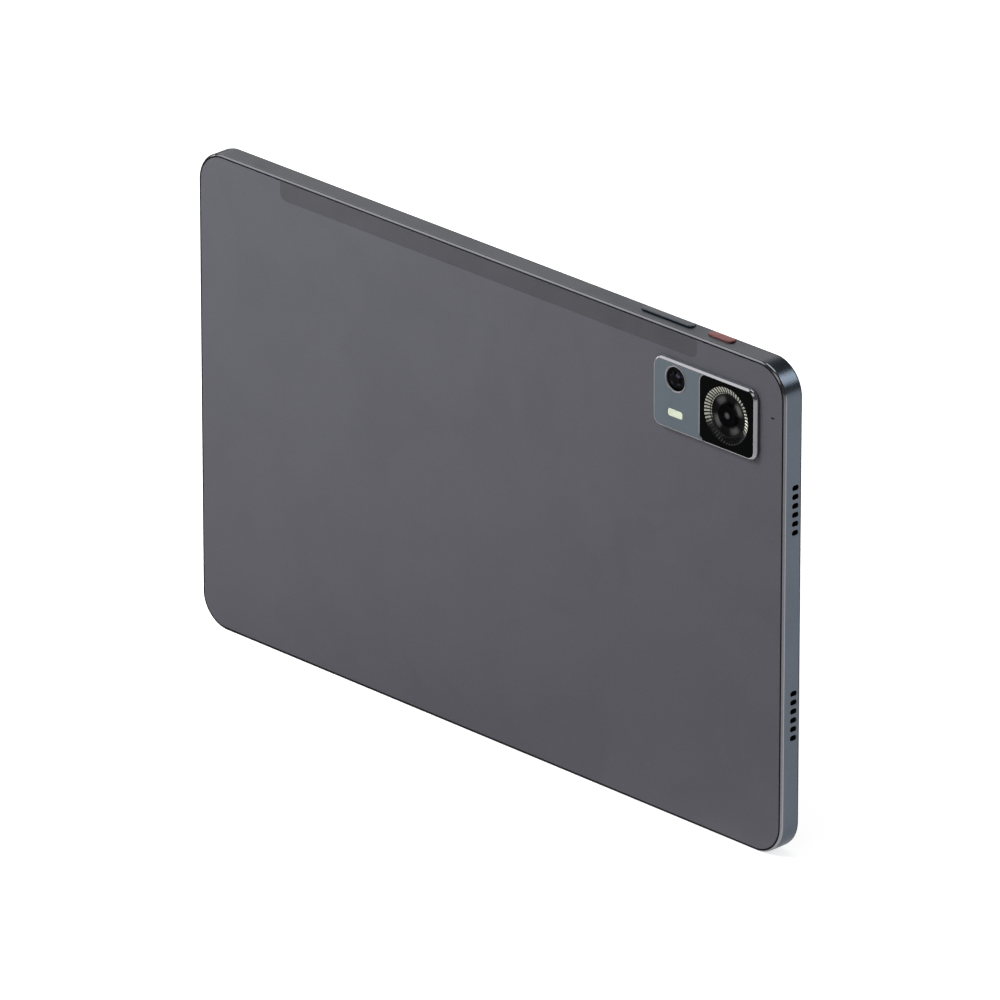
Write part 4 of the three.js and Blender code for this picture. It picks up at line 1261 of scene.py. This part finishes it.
class TABLET_OT_screen(bpy.types.Operator):
    """Builds the gasket round the screen and the cover glass over it"""

    bl_idname = "tablet.screen"
    bl_label = "Screen"

    def execute(self, context):
        size, tones = sizes(), colours()
        low, high, middle, extent = spanned("display_bezel")
        corners = [
            (0, low[1], 0, 0),
            (0, high[1], 0.1, 0),
            (1.25, high[1], 0.06, 0),
            (1.25, low[1], 0, 0),
        ]
        gasket = swept("y", middle * UPRIGHT, extent[::2], GASKET_CORNER, corners, closed=True, steps=24)
        rubber = plastic("Gasket", (0.010, 0.010, 0.011), 0.55, grain=0.15, specular=0.3)
        settle(make_object("screen_gasket", gasket), "body", "black_plastic", ["display_bezel"], rubber)

        low, high, middle, extent = spanned("display_glass")
        soft = size["glass_round"]
        corners = [
            (0, low[1], 0, 0),
            (0, high[1] - 0.12, 0.1, 0),
            (0.45, high[1], soft * 2.5, 0),
            (1.6, high[1], 0, 0),
        ]
        glass = swept("y", middle * UPRIGHT, extent[::2], GLASS_CORNER, corners, steps=24, soft=6)
        eye, sensor = spanned("front_camera")[2], spanned("light_sensor")[2]
        look = screen_finish(
            "Cover Glass",
            tones["screen"],
            (middle[0], middle[2], 112.85, 67.7),
            (eye[0], 152.3, 1.7),
            (sensor[0], sensor[2], 0.8),
        )
        settle(make_object("screen_glass", glass), "body", "display_glass", ["display_glass"], look)
        return {"FINISHED"}


class TABLET_OT_inside(bpy.types.Operator):
    """Gives the parts inside the tablet their finishes"""

    bl_idname = "tablet.inside"
    bl_label = "Inside"

    def execute(self, context):
        steel = metal("Sheet Steel", (0.40, 0.41, 0.42), 0.32, grain=0.4, depth=0.003, tone=0.05)
        alloy = metal("Inner Alloy", (0.30, 0.31, 0.33), 0.42, grain=0.3, depth=0.003, tone=0.06)
        foil = metal("Battery Foil", (0.24, 0.24, 0.25), 0.36, grain=1.6, depth=0.03, tone=0.08)
        black = plastic("Inner Plastic", (0.013, 0.013, 0.014), 0.5)
        board = board_finish("Circuit Board")
        film = film_finish("Flex Film", (0.075, 0.030, 0.006))
        aerial = metal("Aerial Foil", (0.80, 0.62, 0.36), 0.3, grain=0.5, depth=0.002, tone=0.06)
        phosphor = plastic("Phosphor", (0.75, 0.70, 0.18), 0.5)
        panel = plastic("Panel Back", (0.17, 0.17, 0.18), 0.4, metallic=0.5)
        finishes = {
            steel: ["power_switch", "volume_down_switch", "volume_up_switch", "key_bracket", "card_socket",
                    "eject_rod", "eject_lever", "main_camera_can", "processor_shield", "radio_shield",
                    "rear_microphone", *(f"board_screw_{number}" for number in range(1, 5))],
            alloy: ["mid_plate"],
            foil: ["battery_cell_left", "battery_cell_right"],
            black: ["main_lens_barrel", "aux_camera", "front_camera", "light_sensor", "speaker_left_lower",
                    "speaker_left_upper", "speaker_right_lower", "speaker_right_upper"],
            board: ["main_board", "usb_board", "battery_board", "display_board"],
            film: ["key_flex", "main_flex", "display_flex"],
            aerial: ["antenna_left", "antenna_right"],
            phosphor: ["flash_led"],
            panel: ["lcd_panel"],
        }
        for finish, names in finishes.items():
            for name in names:
                held = frame["nodes"][name].data.materials
                held.clear()
                held.append(finish)
        bare = [
            name for name, node in frame["nodes"].items()
            if not node.hide_render and name not in sum(finishes.values(), [])
        ]
        if bare:
            raise RuntimeError(f"no finish for {bare}")
        return {"FINISHED"}


class TABLET_OT_studio(bpy.types.Operator):
    """Sets up the pale floor, the soft lights and the camera"""

    bl_idname = "tablet.studio"
    bl_label = "Studio"

    def execute(self, context):
        scene = context.scene
        studio = scene.tablet_studio
        scene.view_settings.view_transform = "Standard"
        scene.view_settings.look = "None"
        self.floor(studio)
        self.room(scene, studio)
        centre = Vector((0, 0, 0.0785))
        # Name, direction from the tablet, distance, width, height, brightness, colour, and whether it is seen
        # mirrored in metal and glass
        lights = [
            ("Back left panel", (-0.653, 0.646, 0.395), 1.7, 1.5, 1.1, 0.60, (1.0, 0.93, 0.86), True),
            ("High front panel", (-0.653, -0.395, 0.646), 1.5, 0.9, 0.9, 0.72, (1.0, 0.99, 1.0), True),
            ("Back right panel", (0.52, 0.65, 0.52), 1.6, 0.62, 0.62, 2.5, (0.93, 0.97, 1.0), True),
            ("Left panel", (-0.95, -0.28, 0.12), 1.6, 0.8, 0.9, 1.3, (1.0, 1.0, 1.0), True),
            ("Near panel", (-0.465, -0.585, 0.663), 0.598, 0.26, 0.26, 25.5, (1.0, 1.0, 1.0), False),
            ("Corner panel", (0.328, -0.741, 0.586), 1.5, 0.7, 0.6, 0.55, (1.0, 1.0, 1.0), True),
            ("Overhead panel", (0.0, 0.1, 0.99), 2.4, 1.6, 1.6, 1.3, (1.0, 1.0, 1.0), True),
        ]
        for name, direction, distance, width, height, brightness, tint, mirrored in lights:
            towards = Vector(direction).normalized()
            holder = self.panel(name, centre, towards, distance, width, height, brightness, tint)
            holder.visible_glossy = mirrored
        self.camera(scene, studio, centre)
        return {"FINISHED"}

    def floor(self, studio):
        """A wide flat floor just under the tablet, whose edge is a circle."""
        angle = np.linspace(0, TURN, 96, endpoint=False)
        radius, level = 9, -0.00002
        round_edge = [radius * np.cos(angle), radius * np.sin(angle), np.full_like(angle, level)]
        points = np.stack(round_edge, axis=-1)
        mesh = bpy.data.meshes.new("floor")
        mesh.from_pydata(points, [], [list(range(len(angle)))])
        floor = bpy.data.objects.new("floor", mesh)
        bpy.context.scene.collection.objects.link(floor)
        material, nodes, shader = new_finish("Pale Floor")
        noise = nodes.noise(nodes.place(), 3.0, 2.0)
        pale = nodes.blend(noise, (0.86, 0.86, 0.86), (0.90, 0.90, 0.90))
        shader.inputs["Roughness"].default_value = 0.9
        shader.inputs["Specular IOR Level"].default_value = 0.0
        seen = nodes.add("LightPath").outputs["Is Camera Ray"]
        nodes.feed(shader.inputs["Base Color"], nodes.blend(seen, (0.3, 0.3, 0.3), pale))
        parts = nodes.add("SeparateXYZ", {"Vector": nodes.place()}).outputs
        glow = nodes.scaled(parts["X"], studio.floor_left, studio.floor_right, -0.02, 0.16, smooth=True)
        glow = nodes.times(glow, nodes.scaled(parts["Y"], 0.30, 1.0, -0.04, 0.02, smooth=True))
        lit = nodes.blend(glow, (0, 0, 0), (1, 1, 1))
        nodes.feed(shader.inputs["Emission Color"], nodes.blend(seen, lit, (1, 1, 1)))
        shader.inputs["Emission Strength"].default_value = studio.floor
        mesh.materials.append(material)

    def room(self, scene, studio):
        """A dim even room that the camera sees as white."""
        world = bpy.data.worlds.new("Room")
        world.use_nodes = True
        world.node_tree.nodes.clear()
        nodes = Nodes(world.node_tree)
        seen = nodes.add("LightPath").outputs["Is Camera Ray"]
        dim = nodes.add("Background", {"Color": (1.0, 1.0, 1.0), "Strength": studio.room})
        white = nodes.add("Background", {"Color": (1.0, 1.0, 1.0), "Strength": 1.05})
        mixed = nodes.add("MixShader", {0: seen, 1: dim.outputs[0], 2: white.outputs[0]})
        output = nodes.add("OutputWorld")
        nodes.feed(output.inputs["Surface"], mixed.outputs[0])
        scene.world = world

    def panel(self, name, centre, direction, distance, width, height, brightness, tint):
        """A soft light panel that faces the tablet. Its power is its brightness times its area times pi."""
        light = bpy.data.lights.new(name, "AREA")
        light.shape = "RECTANGLE"
        light.size = width
        light.size_y = height
        light.color = tint
        light.energy = brightness * width * height * np.pi
        holder = bpy.data.objects.new(name, light)
        holder.matrix_world = Matrix.Translation(centre + direction * distance) @ (
            direction.to_track_quat("Z", "Y").to_matrix().to_4x4()
        )
        holder.visible_camera = False
        bpy.context.scene.collection.objects.link(holder)
        return holder

    def camera(self, scene, studio, centre):
        """A long lens that looks at the tablet's middle from an azimuth and an elevation. Its back is (sin a
        cos e, -cos a cos e, sin e) and its right is (cos a, sin a, 0)."""
        azimuth, elevation = np.radians(studio.azimuth), np.radians(studio.elevation)
        back = Vector((
            np.sin(azimuth) * np.cos(elevation),
            -np.cos(azimuth) * np.cos(elevation),
            np.sin(elevation),
        ))
        right = Vector((np.cos(azimuth), np.sin(azimuth), 0))
        up = back.cross(right)
        aim = centre + right * studio.aim_right - up * studio.aim_down
        camera = bpy.data.cameras.new("Camera")
        camera.lens = studio.lens
        camera.sensor_width = 36
        camera.clip_start = 0.05
        camera.clip_end = 60
        holder = bpy.data.objects.new("Camera", camera)
        turn = Matrix((right, up, back)).transposed()
        holder.matrix_world = Matrix.Translation(aim + back * studio.distance) @ turn.to_4x4()
        scene.collection.objects.link(holder)
        scene.camera = holder


class TABLET_PT_maker(bpy.types.Panel):
    """Lists the steps that build the tablet, with its sizes and colours"""

    bl_idname = "TABLET_PT_maker"
    bl_label = "Tablet Computer"
    bl_space_type = "VIEW_3D"
    bl_region_type = "UI"
    bl_category = "Tablet"

    def draw(self, context):
        for step in STEPS:
            self.layout.operator(step.bl_idname)
        for group in (context.scene.tablet_sizes, context.scene.tablet_colours, context.scene.tablet_studio):
            box = self.layout.box()
            for name in type(group).__annotations__:
                box.prop(group, name)


STEPS = (
    TABLET_OT_frame,
    TABLET_OT_rear_cover,
    TABLET_OT_camera_island,
    TABLET_OT_main_camera,
    TABLET_OT_second_camera,
    TABLET_OT_keys,
    TABLET_OT_left_side,
    TABLET_OT_speaker_cloth,
    TABLET_OT_screen,
    TABLET_OT_inside,
    TABLET_OT_studio,
)
PROPERTIES = {"tablet_sizes": TabletSizes, "tablet_colours": TabletColours, "tablet_studio": StudioSettings}
CLASSES = (*PROPERTIES.values(), *STEPS, TABLET_PT_maker)


def register():
    for item in CLASSES:
        bpy.utils.register_class(item)
    for name, group in PROPERTIES.items():
        setattr(bpy.types.Scene, name, PointerProperty(type=group))


def unregister():
    for name in PROPERTIES:
        delattr(bpy.types.Scene, name)
    for item in reversed(CLASSES):
        bpy.utils.unregister_class(item)


def main():
    """Builds every piece and the studio."""
    register()
    bpy.ops.tablet.frame()
    bpy.ops.tablet.rear_cover()
    bpy.ops.tablet.camera_island()
    bpy.ops.tablet.main_camera()
    bpy.ops.tablet.second_camera()
    bpy.ops.tablet.keys()
    bpy.ops.tablet.left_side()
    bpy.ops.tablet.speaker_cloth()
    bpy.ops.tablet.screen()
    bpy.ops.tablet.inside()
    bpy.ops.tablet.studio()


if __name__ == "__main__":
    main()
